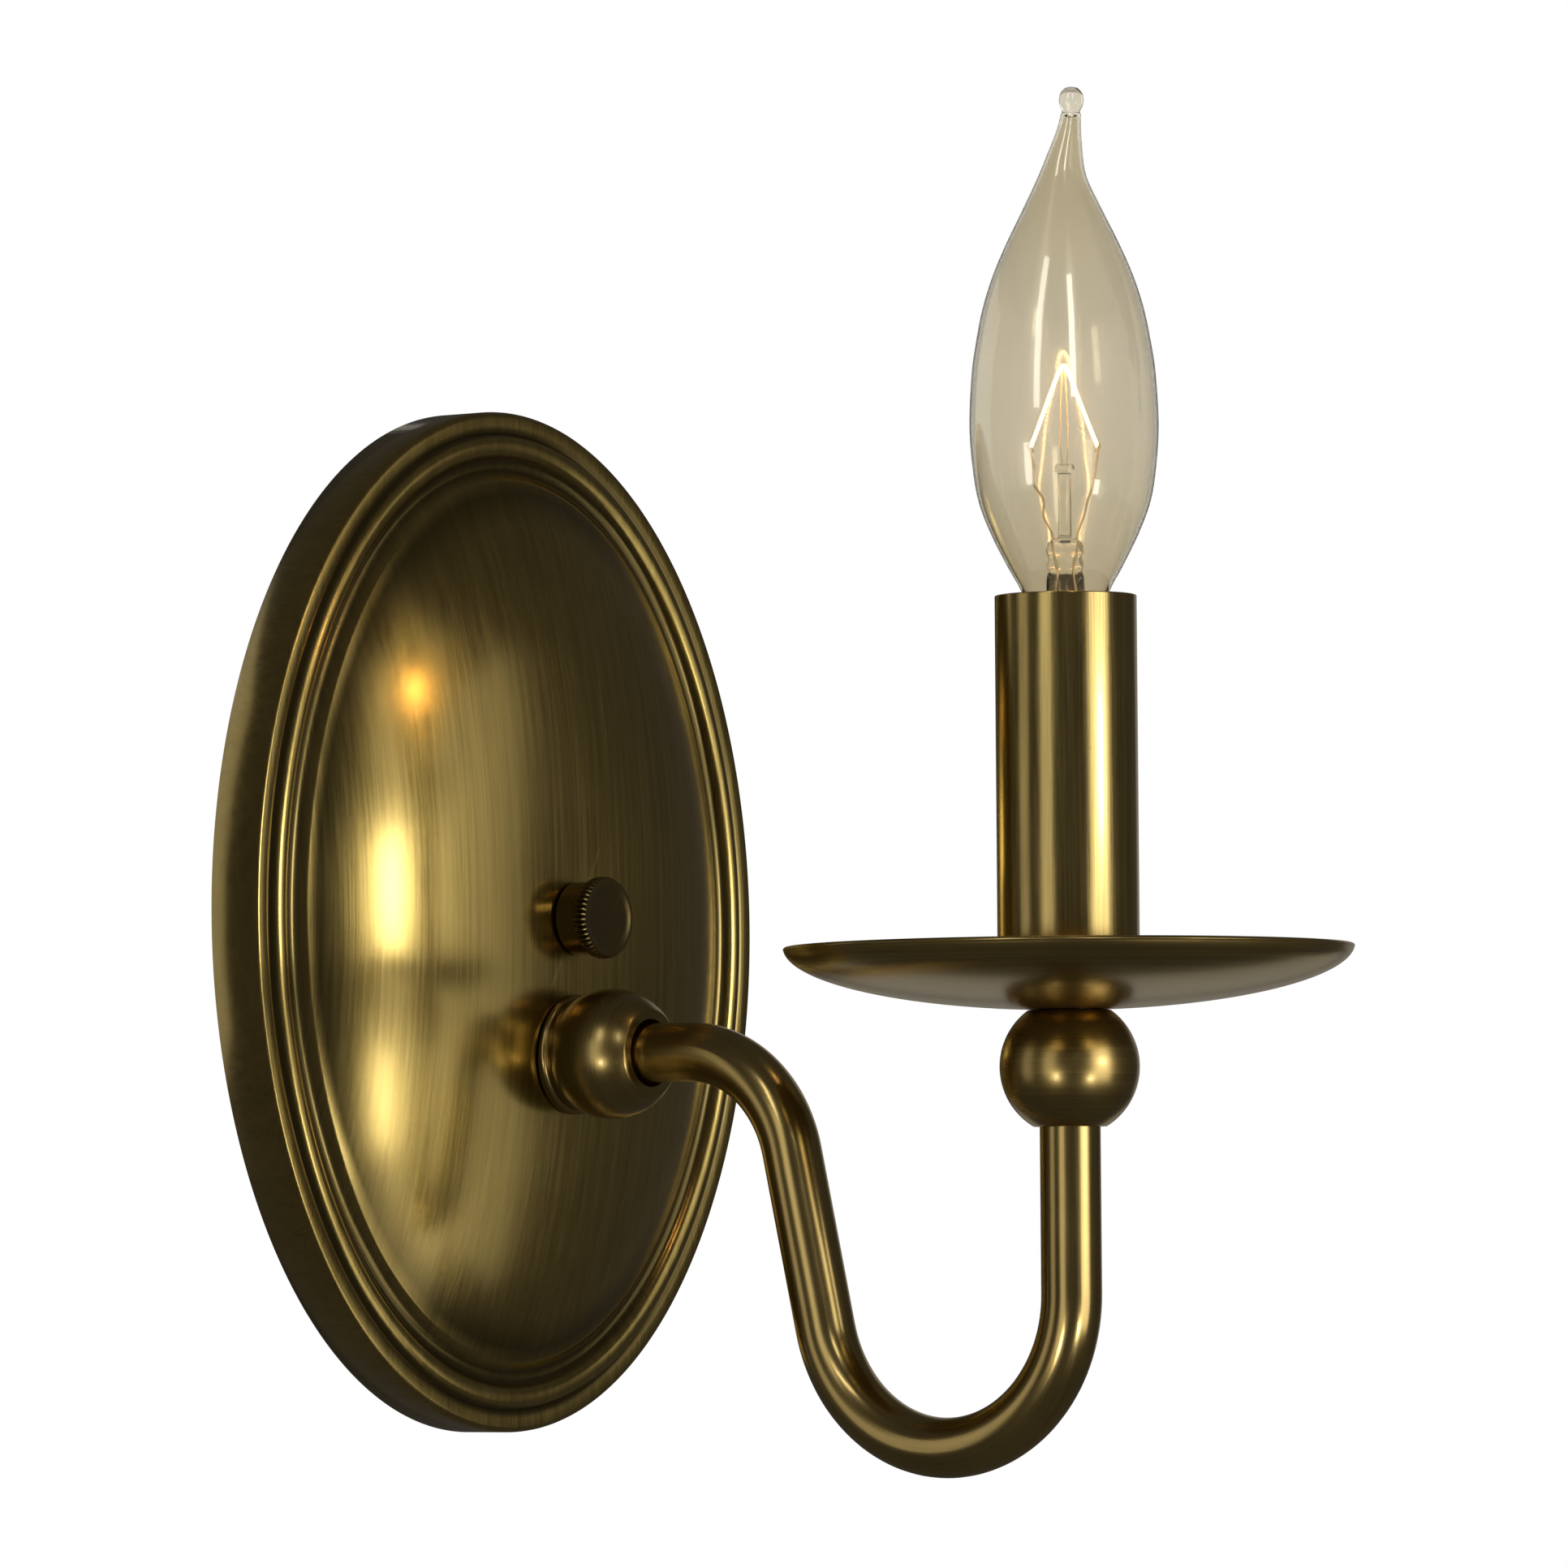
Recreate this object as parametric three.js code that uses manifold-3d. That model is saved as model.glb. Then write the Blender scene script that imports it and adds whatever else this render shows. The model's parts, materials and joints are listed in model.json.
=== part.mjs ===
// Single-light electric wall sconce in antique brass: an oval domed backplate, a gooseneck arm that
// leaves a turned hub, and a candle socket with a metal sleeve, drip pan and flame-tip bulb.
// Millimetres, +Z up. The origin is the centre of the wall plane and the fixture faces -Y.
import * as THREE from "three";
import { mergeVertices } from "three/addons/utils/BufferGeometryUtils.js";
import Module from "manifold-3d";

const wasm = await Module();
wasm.setup();

// ---- driving dimensions ----
const GAP = 0.3; // clearance between pieces that touch

// backplate
const PLATE_HALF_WIDTH = 70;
const PLATE_HALF_HEIGHT = 89;
const PLATE_SHEET = 1;
const RIM_HEIGHT = 10;
const DOME_INSET = 12.5; // from the rim to the edge of the dome
const DOME_EDGE_HEIGHT = 11.1;
const DOME_HEIGHT = 24;
const DOME_POWER = 2.8; // how much flatter the crown is than the flanks

// arm and the threaded nipples at its two ends
const PIPE_RADIUS = 5.1;
const PIPE_BORE = 3.8;
const NIPPLE_RADIUS = 4.7;
const NIPPLE_BORE = 3.5;
const NIPPLE_HOLE = NIPPLE_RADIUS + GAP;
const PIPE_SEAT = PIPE_RADIUS + GAP;
const HUB_Z = -23.6;
const CANDLE_REACH = 128; // wall to candle axis
const FIRST_BEND = 22.3;
const SECOND_BEND = 25.8;
const SECOND_BEND_Z = -65.5;
const LEAN = THREE.MathUtils.degToRad(12.7); // of the straight run between the two bends

// hub, along its own axis: heights are distances from the wall
const HUB_RADIUS = 11.3;
const HUB_CENTRE = 31.8;
const HUB_FACE_RADIUS = 7.4;
const HUB_BACK = 21;
const FOOT_RADIUS = 10.4;
const FOOT_TOP = 24.9;
const NIPPLE_START = 15.5;
const NIPPLE_END = 35;
const ARM_START = 35.6;

// candle: ball, drip pan and sleeve on one upright axis
const BALL_RADIUS = 11.75;
const BALL_Z = -27.65;
const BALL_TOP_Z = -18.5;
const BALL_BOTTOM_Z = -37.65;
const BALL_STEP_Z = -33.3; // where the ball's wide bore for the arm meets its narrow one
const PAN_RADIUS = 47.8;
const PAN_RIM_Z = -7.4;
const PAN_DEPTH = 10.8;
const PAN_SHEET = 1;
const SLEEVE_RADIUS = 11.9;
const SLEEVE_WALL = 0.7;
const SLEEVE_TOP_Z = 51.2;
const SLEEVE_BOTTOM_Z = -16.4;
const UPPER_NIPPLE_TOP_Z = -8.5;

// socket and bulb
const SOCKET_RADIUS = 9;
const SOCKET_BOTTOM_Z = 20;
const SOCKET_TOP_Z = 45.5;
const SHELL_FLOOR_Z = 26.8;
const SHELL_RADIUS = 6.45;
const SHELL_WALL = 0.35;
const BULB_TIP_Z = 27.9;
const BASE_RADIUS = 5.75;
const BASE_BOTTOM_Z = 31.5;
const BASE_TOP_Z = 44.4;
const GLASS_WALL = 0.6;
const FLAME_FLICK = 1.7; // how far the tip turns to one side
const FILAMENT_TURN = THREE.MathUtils.degToRad(-53.5); // the filament's plane about the bulb axis
const FILAMENT_APEX_Z = 90.2;
const FILAMENT_FOOT_Z = 76.2;

// wall strap, knob and wiring
const STRAP_LENGTH = 105;
const STRAP_WIDTH = 19;
const STRAP_SHEET = 2;
const SLOT_NEAR = 33;
const SLOT_FAR = 46;
const SLOT_WIDTH = 4.8;
const GROUND_SCREW_Z = 16;
const STUD_RADIUS = 2.05;
const STUD_END = 28.8;
const KNOB_RADIUS = 7.1;
const KNOB_FACE = 31.3;
const WASHER_FACE = 25.1;
const WIRE_RADIUS = 1.1;
const WIRE_OFFSET = 1.4; // each wire's distance from the middle of the pipe
const NUT_X = 16; // the wire nuts hang this far either side of the strap
const NUT_MOUTH_Z = -41;
const NUT_HEIGHT = 8.5; // their distance from the wall

const FINE = 40;
const ROUND = 24;
const SMALL = 16;

// ---- materials ----
function metal(color, roughness) {
  return new THREE.MeshStandardMaterial({ color, roughness, metalness: 1 });
}

function plain(color, roughness) {
  return new THREE.MeshStandardMaterial({ color, roughness, metalness: 0 });
}

const antiqueBrass = () => metal(0x8a6d35, 0.35);
const yellowBrass = () => metal(0xc7a04a, 0.3);
const zincSteel = () => metal(0xb4b6b8, 0.4);
const greenSteel = () => metal(0x2e7d4a, 0.4);
const copper = () => metal(0xb87333, 0.35);
const nickel = () => metal(0xc8c4b8, 0.3);
const solder = () => metal(0x9fa3a6, 0.35);
const tungsten = () => metal(0xffc98a, 0.5);
const phenolic = () => plain(0x1d1b1a, 0.6);
const blackPvc = () => plain(0x151515, 0.5);
const whitePvc = () => plain(0xe8e6e0, 0.5);
const orangeNylon = () => plain(0xd9772b, 0.5);
const blackGlass = () => plain(0x16151c, 0.2);

function clearGlass() {
  const glass = plain(0xe9e4d6, 0.05);
  glass.transparent = true;
  glass.opacity = 0.35;
  return glass;
}

// ---- geometry helpers ----

// Revolves [radius, height] points about +Z. The outline runs anticlockwise, so the faces point out.
function turned(points, segments = ROUND) {
  const outline = points.map(([r, z]) => new THREE.Vector2(r, z));
  return new THREE.LatheGeometry(outline, segments).rotateX(Math.PI / 2);
}

// Closes an outline that stays off the axis, then revolves it.
function ring(points, segments = ROUND) {
  return turned([...points, points[0]], segments);
}

function tube(inner, outer, low, high, segments = ROUND) {
  return ring([[inner, low], [outer, low], [outer, high], [inner, high]], segments);
}

function rod(radius, low, high, segments = SMALL) {
  return turned([[0, low], [radius, low], [radius, high], [0, high]], segments);
}

// Points of an arc in the [radius, height] plane.
function arc(centreR, centreZ, radius, fromDegrees, toDegrees, steps) {
  return Array.from({ length: steps + 1 }, (_, i) => {
    const angle = THREE.MathUtils.degToRad(fromDegrees + ((toDegrees - fromDegrees) * i) / steps);
    return [centreR + radius * Math.cos(angle), centreZ + radius * Math.sin(angle)];
  });
}

function box(width, depth, height, x, y, z) {
  return new THREE.BoxGeometry(width, depth, height).translate(x, y, z);
}

function hexNut(acrossFlats, bore, low, high) {
  const outline = new THREE.Shape();
  const corner = acrossFlats / Math.sqrt(3);
  outline.setFromPoints(
    Array.from({ length: 6 }, (_, i) => {
      const angle = (Math.PI / 3) * i;
      return new THREE.Vector2(corner * Math.cos(angle), corner * Math.sin(angle));
    }),
  );
  const hole = new THREE.Path();
  hole.absarc(0, 0, bore, 0, Math.PI * 2, true);
  outline.holes.push(hole);
  const options = { depth: high - low, bevelEnabled: false, curveSegments: SMALL / 2 };
  return new THREE.ExtrudeGeometry(outline, options).translate(0, 0, low);
}

// A round section swept along a curve, hollow where a bore is given.
function swept(path, radius, steps, sides, bore = 0) {
  const section = new THREE.Shape();
  section.absarc(0, 0, radius, 0, Math.PI * 2, false);
  if (bore) {
    const hole = new THREE.Path();
    hole.absarc(0, 0, bore, 0, Math.PI * 2, true);
    section.holes.push(hole);
  }
  return new THREE.ExtrudeGeometry(section, { steps, curveSegments: sides / 2, extrudePath: path });
}

function smooth(...points) {
  return new THREE.CatmullRomCurve3(points.map((p) => new THREE.Vector3(...p)));
}

function toSolid(geometry) {
  const bare = geometry.clone();
  bare.deleteAttribute("normal");
  bare.deleteAttribute("uv");
  const merged = mergeVertices(bare);
  const corners = merged.index.array;
  const kept = [];
  for (let i = 0; i < corners.length; i += 3) {
    const [a, b, c] = [corners[i], corners[i + 1], corners[i + 2]];
    if (a !== b && b !== c && c !== a) kept.push(a, b, c);
  }
  const vertProperties = new Float32Array(merged.attributes.position.array);
  return new wasm.Manifold(
    new wasm.Mesh({ numProp: 3, vertProperties, triVerts: new Uint32Array(kept) }),
  );
}

function toGeometry(solid) {
  const mesh = solid.getMesh();
  const geometry = new THREE.BufferGeometry();
  geometry.setAttribute("position", new THREE.BufferAttribute(mesh.vertProperties, 3));
  geometry.setIndex(new THREE.BufferAttribute(mesh.triVerts, 1));
  geometry.computeVertexNormals();
  return geometry;
}

function cut(geometry, ...tools) {
  return toGeometry(tools.reduce((body, tool) => body.subtract(toSolid(tool)), toSolid(geometry)));
}

function join(geometry, ...others) {
  return toGeometry(others.reduce((body, other) => body.add(toSolid(other)), toSolid(geometry)));
}

function piece(name, geometry, material) {
  const mesh = new THREE.Mesh(geometry, material);
  mesh.name = name;
  return mesh;
}

// ---- backplate and wall strap: heights are distances from the wall ----
const DOME_RADIUS = PLATE_HALF_WIDTH - DOME_INSET;
const OVAL_EXTRA = PLATE_HALF_HEIGHT - PLATE_HALF_WIDTH;

// The dome's section falls from its crown to its edge as a power of the distance.
function domeOutline(rise, steps) {
  const bulge = DOME_HEIGHT - DOME_EDGE_HEIGHT;
  return Array.from({ length: steps + 1 }, (_, i) => {
    const part = 1 - i / steps;
    return [DOME_RADIUS * part, DOME_HEIGHT + rise - bulge * part ** DOME_POWER];
  });
}

// Stretches a turned piece to the plate's oval. The rim keeps one width all round, and the dome
// inside it is scaled.
function toOval(geometry) {
  const place = geometry.attributes.position;
  for (let i = 0; i < place.count; i += 1) {
    const r = Math.hypot(place.getX(i), place.getY(i));
    const onRim = r > DOME_RADIUS;
    const stretch = onRim ? (r + OVAL_EXTRA) / r : (DOME_RADIUS + OVAL_EXTRA) / DOME_RADIUS;
    place.setY(i, place.getY(i) * stretch);
  }
  return geometry;
}

function backplate() {
  const rim = PLATE_HALF_WIDTH;
  const inside = [
    ...domeOutline(-PLATE_SHEET, 7).reverse(),
    [rim - 8.5, RIM_HEIGHT - 1.6],
    [rim - 3.7, RIM_HEIGHT - 1.3],
    [rim - PLATE_SHEET, RIM_HEIGHT - 1.5],
    [rim - PLATE_SHEET, 0],
  ];
  const corner = arc(rim - 1.2, RIM_HEIGHT - 1.2, 1.2, 0, 90, 2);
  const ledgeEnd = [rim - 3.7, RIM_HEIGHT - 0.2];
  const bead = arc(rim - 6, RIM_HEIGHT - 1.4, 2.4, 35, 145, 4);
  const coveFloor = [rim - 9.8, RIM_HEIGHT - 0.4];
  const outside = [[rim, 0], ...corner, ledgeEnd, ...bead, coveFloor, ...domeOutline(0, 7)];
  const shell = toOval(turned([...inside, ...outside], 48));
  const studHole = rod(STUD_RADIUS + GAP, 15, 30);
  const nippleHole = rod(NIPPLE_HOLE, 15, 30).translate(0, HUB_Z, 0);
  return cut(shell, studHole, nippleHole);
}

function mountingStrap() {
  const bar = box(STRAP_WIDTH, STRAP_LENGTH, STRAP_SHEET, 0, 0, STRAP_SHEET / 2);
  const middle = (SLOT_NEAR + SLOT_FAR) / 2;
  const slots = [-middle, middle].map((y) => {
    const straight = SLOT_FAR - SLOT_NEAR - SLOT_WIDTH;
    const end = () => rod(SLOT_WIDTH / 2, -1, 3);
    const ends = [-straight / 2, straight / 2].map((dy) => end().translate(0, y + dy, 0));
    return join(box(SLOT_WIDTH, straight, 4, 0, y, 1), ...ends);
  });
  const studHole = rod(STUD_RADIUS + GAP, -1, 3);
  const screwHole = rod(2.2, -1, 3).translate(0, GROUND_SCREW_Z, 0);
  return cut(bar, ...slots, studHole, screwHole);
}

function groundScrew() {
  const top = STRAP_SHEET + GAP;
  const screw = turned([[0, 0.2], [1.9, 0.2], [1.9, top], [4.2, top], [4.2, top + 0.6], [3.4, top + 0.6],
    [3.2, top + 2.4], [0, top + 2.4]], SMALL);
  const slot = box(5, 0.9, 1.4, 0, 0, top + 2.4);
  return cut(screw, slot).translate(0, GROUND_SCREW_Z, 0);
}

function knob() {
  const bottom = DOME_HEIGHT + 0.35;
  return turned([
    [0, STUD_END + 0.7],
    [STUD_RADIUS + 0.4, STUD_END + 0.7],
    [STUD_RADIUS + 0.4, WASHER_FACE + GAP],
    [5.9, WASHER_FACE + GAP],
    [5.9, bottom],
    [6.4, bottom],
    [6.4, KNOB_FACE - 2.5],
    [KNOB_RADIUS, KNOB_FACE - 2.2],
    [KNOB_RADIUS, KNOB_FACE - 0.3],
    [KNOB_RADIUS - 0.3, KNOB_FACE],
    [5.4, KNOB_FACE],
    [5.0, KNOB_FACE - 0.4],
    [0, KNOB_FACE - 0.4],
  ]);
}

// ---- hub ----

// The hub's foot is shaped to the dome that it stands on.
function hub() {
  const reach = (radius) => Math.sqrt(HUB_RADIUS ** 2 - radius ** 2);
  const face = HUB_CENTRE + reach(HUB_FACE_RADIUS);
  const startAngle = THREE.MathUtils.radToDeg(Math.atan2(-reach(9.2), 9.2));
  const endAngle = THREE.MathUtils.radToDeg(Math.atan2(reach(HUB_FACE_RADIUS), HUB_FACE_RADIUS));
  const body = ring([
    [NIPPLE_HOLE, HUB_BACK],
    [FOOT_RADIUS, HUB_BACK],
    [FOOT_RADIUS, FOOT_TOP - 0.5],
    [FOOT_RADIUS - 0.5, FOOT_TOP],
    [9.2, FOOT_TOP + 0.1],
    ...arc(0, HUB_CENTRE, HUB_RADIUS, startAngle, endAngle, 8),
    [PIPE_SEAT, face],
    [PIPE_SEAT, ARM_START - GAP],
    [NIPPLE_HOLE, ARM_START - GAP],
  ]);
  const domeBody = toOval(turned([[0, 5], [DOME_RADIUS, 5], ...domeOutline(GAP, 8)], 48));
  return cut(body, domeBody.translate(0, -HUB_Z, 0));
}

// ---- arm ----

// Centre line of the gooseneck in the plane x = 0: level out of the hub, round the first bend,
// down a leaning straight, round the second bend and straight up into the ball.
class Gooseneck extends THREE.Curve {
  constructor(startY, endZ) {
    super();
    const cos = Math.cos(LEAN);
    const sin = Math.sin(LEAN);
    const secondY = SECOND_BEND - CANDLE_REACH;
    const lowEnd = { y: secondY + SECOND_BEND * cos, z: SECOND_BEND_Z - SECOND_BEND * sin };
    const highZ = HUB_Z - FIRST_BEND + FIRST_BEND * sin;
    const straight = (highZ - lowEnd.z) / cos;
    const firstY = lowEnd.y + straight * sin + FIRST_BEND * cos;
    const turnDown = Math.PI / 2 - LEAN;
    this.parts = [
      { length: startY - firstY, at: (s) => [startY - s, HUB_Z] },
      {
        length: FIRST_BEND * turnDown,
        at: (s) => {
          const angle = s / FIRST_BEND;
          return [firstY - FIRST_BEND * Math.sin(angle), HUB_Z - FIRST_BEND * (1 - Math.cos(angle))];
        },
      },
      { length: straight, at: (s) => [lowEnd.y + (straight - s) * sin, lowEnd.z + (straight - s) * cos] },
      {
        length: SECOND_BEND * (Math.PI - LEAN),
        at: (s) => {
          const angle = -LEAN - s / SECOND_BEND;
          return [secondY + SECOND_BEND * Math.cos(angle), SECOND_BEND_Z + SECOND_BEND * Math.sin(angle)];
        },
      },
      { length: endZ - SECOND_BEND_Z, at: (s) => [-CANDLE_REACH, SECOND_BEND_Z + s] },
    ];
    this.total = this.parts.reduce((sum, part) => sum + part.length, 0);
  }

  getPoint(t, target = new THREE.Vector3()) {
    let left = t * this.total;
    let index = 0;
    while (index < this.parts.length - 1 && left > this.parts[index].length) {
      left -= this.parts[index].length;
      index += 1;
    }
    const [y, z] = this.parts[index].at(left);
    return target.set(0, y, z);
  }
}

function armTube() {
  return swept(new Gooseneck(-ARM_START, BALL_STEP_Z - GAP), PIPE_RADIUS, 36, 16, PIPE_BORE);
}

// ---- candle: heights are world Z, on the candle's axis ----
function armBall() {
  const flatRadius = (z) => Math.sqrt(BALL_RADIUS ** 2 - (z - BALL_Z) ** 2);
  const angleAt = (z) => THREE.MathUtils.radToDeg(Math.atan2(z - BALL_Z, flatRadius(z)));
  return ring([
    [PIPE_SEAT, BALL_BOTTOM_Z],
    ...arc(0, BALL_Z, BALL_RADIUS, angleAt(BALL_BOTTOM_Z), angleAt(BALL_TOP_Z), 8),
    [NIPPLE_HOLE, BALL_TOP_Z],
    [NIPPLE_HOLE, BALL_STEP_Z],
    [PIPE_SEAT, BALL_STEP_Z],
  ]);
}

// The pan's section is a half ellipse, spun from one thickness of sheet.
function dripPan() {
  const sweep = Array.from({ length: 9 }, (_, i) => THREE.MathUtils.degToRad((90 * i) / 8));
  const curve = (radius, depth) =>
    sweep.map((angle) => [radius * Math.sin(angle), PAN_RIM_Z - depth * Math.cos(angle)]);
  const under = curve(PAN_RADIUS, PAN_DEPTH).slice(2);
  const upper = curve(PAN_RADIUS - PAN_SHEET, PAN_DEPTH - PAN_SHEET).slice(2).reverse();
  const floor = PAN_RIM_Z - PAN_DEPTH;
  return ring([[NIPPLE_HOLE, floor + 0.05], ...under, ...upper, [NIPPLE_HOLE, floor + PAN_SHEET]], FINE);
}

function candleSleeve() {
  const inner = SLEEVE_RADIUS - SLEEVE_WALL;
  return tube(inner, SLEEVE_RADIUS, SLEEVE_BOTTOM_Z, SLEEVE_TOP_Z, FINE);
}

// A disc round the nipple with a leg that carries the socket.
function socketBracket() {
  const low = -12;
  const sheet = 1.2;
  const legX = SOCKET_RADIUS + GAP + 0.5;
  const disc = rod(8.6, low, low + sheet, ROUND);
  const tongue = box(legX, 6, sheet, legX / 2 + 0.2, 0, low + sheet / 2);
  const leg = box(1, 6, 46, legX, 0, low + 23);
  const nippleHole = rod(NIPPLE_HOLE, low - 1, low + 3);
  const rivetHole = rod(1.3, 0, 14).rotateY(Math.PI / 2).translate(0, 0, 29);
  return cut(join(disc, tongue, leg), nippleHole, rivetHole);
}

// Holds the leg to the socket: its shank ends inside a blind hole in the phenolic.
function bracketRivet() {
  const head = SOCKET_RADIUS + GAP + 1 + GAP;
  const rivet = turned([[0, 7.6], [1, 7.6], [1, head], [1.6, head], [0, head + 0.35]], 12);
  return rivet.rotateY(Math.PI / 2).translate(0, 0, 29);
}

function socketBody() {
  const bore = SHELL_RADIUS + GAP;
  const cup = ring([
    [1.6, SOCKET_BOTTOM_Z],
    [SOCKET_RADIUS, SOCKET_BOTTOM_Z],
    [SOCKET_RADIUS, SOCKET_TOP_Z],
    [bore + 0.7, SOCKET_TOP_Z],
    [bore, SOCKET_TOP_Z - 1],
    [bore, SHELL_FLOOR_Z - GAP],
    [1.6, SHELL_FLOOR_Z - GAP],
  ]);
  const rivetHole = rod(1.3, 7.3, 12).rotateY(Math.PI / 2).translate(0, 0, 29);
  return cut(cup, rivetHole);
}

function socketShell() {
  const inner = SHELL_RADIUS - SHELL_WALL;
  const top = SOCKET_TOP_Z - 1.5;
  return ring([
    [4, SHELL_FLOOR_Z],
    [SHELL_RADIUS, SHELL_FLOOR_Z],
    [SHELL_RADIUS, top],
    [inner, top],
    [inner, SHELL_FLOOR_Z + 0.5],
    [4, SHELL_FLOOR_Z + 0.5],
  ]);
}

// The centre contact is a brass button whose stem passes down through the socket's floor.
function socketContact() {
  const top = BULB_TIP_Z - GAP;
  const stem = [[0, 18.6], [1.2, 18.6], [1.2, SHELL_FLOOR_Z]];
  return turned([...stem, [3, SHELL_FLOOR_Z], [3, top], [0, top]], SMALL);
}

// ---- bulb ----
function bulbContactTip() {
  const low = BULB_TIP_Z;
  return turned([[0, low], [1.2, low + 0.2], [2.2, low + 1.1], [2.2, BASE_BOTTOM_Z - 0.4],
    [0, BASE_BOTTOM_Z - 0.4]], SMALL);
}

function bulbInsulator() {
  const top = BASE_BOTTOM_Z - 0.2;
  return ring([[2.5, top - 1.9], [3.4, top - 1.9], [5, top], [2.5, top]], SMALL);
}

function bulbBase() {
  const inner = BASE_RADIUS - 0.5;
  return ring([
    [2.8, BASE_BOTTOM_Z],
    [5.1, BASE_BOTTOM_Z],
    [BASE_RADIUS, BASE_BOTTOM_Z + 0.8],
    [BASE_RADIUS, BASE_TOP_Z],
    [inner, BASE_TOP_Z],
    [inner, BASE_BOTTOM_Z + 1],
    [2.8, BASE_BOTTOM_Z + 0.5],
  ]);
}

// The flame tip isn't straight: it turns to one side above the shoulder.
function flameBend(z) {
  return FLAME_FLICK * THREE.MathUtils.smoothstep(z, 120, 134.5);
}

function bulbGlass() {
  const outside = [
    [4.9, 36],
    [4.9, 44.6],
    [6, 47],
    [7.4, 51.9],
    [9.6, 56],
    [12.3, 61.4],
    [14.4, 67],
    [15.4, 73],
    [15.85, 80],
    [15.4, 88.6],
    [14.6, 94.1],
    [13.5, 99.5],
    [11.8, 104.9],
    [9.45, 110.4],
    [6.7, 115.8],
    [4.2, 121.2],
    [2.65, 126.7],
    [1.75, 132.2],
    [2, 134.6],
    [1.3, 136.3],
    [0, 136.8],
  ];
  const inside = outside
    .filter(([r, z]) => r > 2.5 && z > 44)
    .map(([r, z]) => [r - GLASS_WALL, z - (z > 90 ? 0.35 : 0)])
    .reverse();
  const roof = [[0, 128.6]];
  const neck = [[4.9 - GLASS_WALL, 36]];
  const glass = turned([...roof, ...inside, ...neck, ...outside], 24);
  const place = glass.attributes.position;
  for (let i = 0; i < place.count; i += 1) {
    const shift = flameBend(place.getZ(i));
    place.setX(i, place.getX(i) + shift * Math.cos(FILAMENT_TURN));
    place.setY(i, place.getY(i) + shift * Math.sin(FILAMENT_TURN));
  }
  return glass;
}

// A flared glass foot drawn up into a rod with a button on top.
function bulbStem() {
  return turned([
    [0, 46],
    [3.3, 46],
    [3.3, 58],
    [2.6, 60.3],
    [1.2, 61],
    [1.1, 71.6],
    [1.7, 72.2],
    [1.7, 73.1],
    [0, 73.5],
  ], SMALL);
}

// Inverted V from one foot to the apex and down to the other, in the plane x-z before it is turned.
function filament() {
  const foot = 5.6;
  const path = smooth(
    [-foot, 0, FILAMENT_FOOT_Z],
    [-foot * 0.5, 0, FILAMENT_FOOT_Z + 7],
    [-0.7, 0, FILAMENT_APEX_Z - 1.2],
    [0, 0, FILAMENT_APEX_Z - 0.3],
    [0.7, 0, FILAMENT_APEX_Z - 1.2],
    [foot * 0.5, 0, FILAMENT_FOOT_Z + 7],
    [foot, 0, FILAMENT_FOOT_Z],
  );
  return swept(path, 0.3, 16, 6);
}

function leadWire(side) {
  const path = smooth(
    [side * 2, 0, 61.4],
    [side * 3.4, 0, 66],
    [side * 5.2, 0, 71],
    [side * 5.6, 0, FILAMENT_FOOT_Z - 0.7],
  );
  return swept(path, 0.3, 8, 6);
}

// Stands on the button of the stem and holds the filament's apex up from below.
function filamentSupport() {
  return rod(0.25, 73.9, FILAMENT_APEX_Z - 1.1, 6);
}

// ---- wiring ----

// A wire from its terminal, down the candle, round the arm and out behind the plate to its nut.
function fixtureWire(side, terminalX) {
  const x = side * WIRE_OFFSET;
  const arm = new Gooseneck(-ARM_START, BALL_STEP_Z - GAP);
  const inArm = arm.getSpacedPoints(14).map((p) => [x, p.y, p.z]).reverse();
  return smooth(
    [terminalX, -CANDLE_REACH, 18],
    [terminalX * 0.8 + x * 0.2, -CANDLE_REACH, 8],
    [x, -CANDLE_REACH, -6],
    [x, -CANDLE_REACH, -20],
    ...inArm,
    [x, -26, HUB_Z],
    [x, -15, HUB_Z],
    [side * 3, -11, HUB_Z - 2],
    [side * 9, -NUT_HEIGHT, HUB_Z - 6],
    [side * (NUT_X - 1), -NUT_HEIGHT, NUT_MOUTH_Z + 7],
    [side * NUT_X, -NUT_HEIGHT, NUT_MOUTH_Z],
    [side * NUT_X, -NUT_HEIGHT, NUT_MOUTH_Z - 6],
  );
}

// A cone-shaped twist-on connector, mouth up.
function wireNut(side) {
  const low = NUT_MOUTH_Z - 17;
  const cap = turned([
    [0, low],
    [2.6, low],
    [3.4, low + 1],
    [4.6, NUT_MOUTH_Z - 2],
    [5, NUT_MOUTH_Z],
    [3.6, NUT_MOUTH_Z],
    [2.6, NUT_MOUTH_Z - 8],
    [0, NUT_MOUTH_Z - 8],
  ], SMALL);
  return cap.translate(side * NUT_X, -NUT_HEIGHT, 0);
}

function groundWire() {
  const path = smooth(
    [5.3, -3.4, GROUND_SCREW_Z],
    [10, -5, 8],
    [12.5, -9, -4],
    [12.5, -15, -15],
    [9.6, -19.8, HUB_Z + 1],
  );
  return swept(path, 0.8, 16, 6);
}

// ---- assembly ----

// Local +Z points away from the wall, and local +Y is up.
const outward = new THREE.Group();
outward.rotation.x = Math.PI / 2;
outward.add(
  piece("mounting_strap", mountingStrap(), zincSteel()),
  piece("strap_stud", rod(STUD_RADIUS, 0.2, STUD_END), zincSteel()),
  piece("stud_nut", hexNut(8.7, STUD_RADIUS + GAP, STRAP_SHEET + GAP, STRAP_SHEET + 3.5), zincSteel()),
  piece("ground_screw", groundScrew(), greenSteel()),
  piece("backplate", backplate(), antiqueBrass()),
  piece("knob_washer", tube(STUD_RADIUS + GAP, 5.5, DOME_HEIGHT + GAP, WASHER_FACE), zincSteel()),
  piece("knob", knob(), antiqueBrass()),
);

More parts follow.
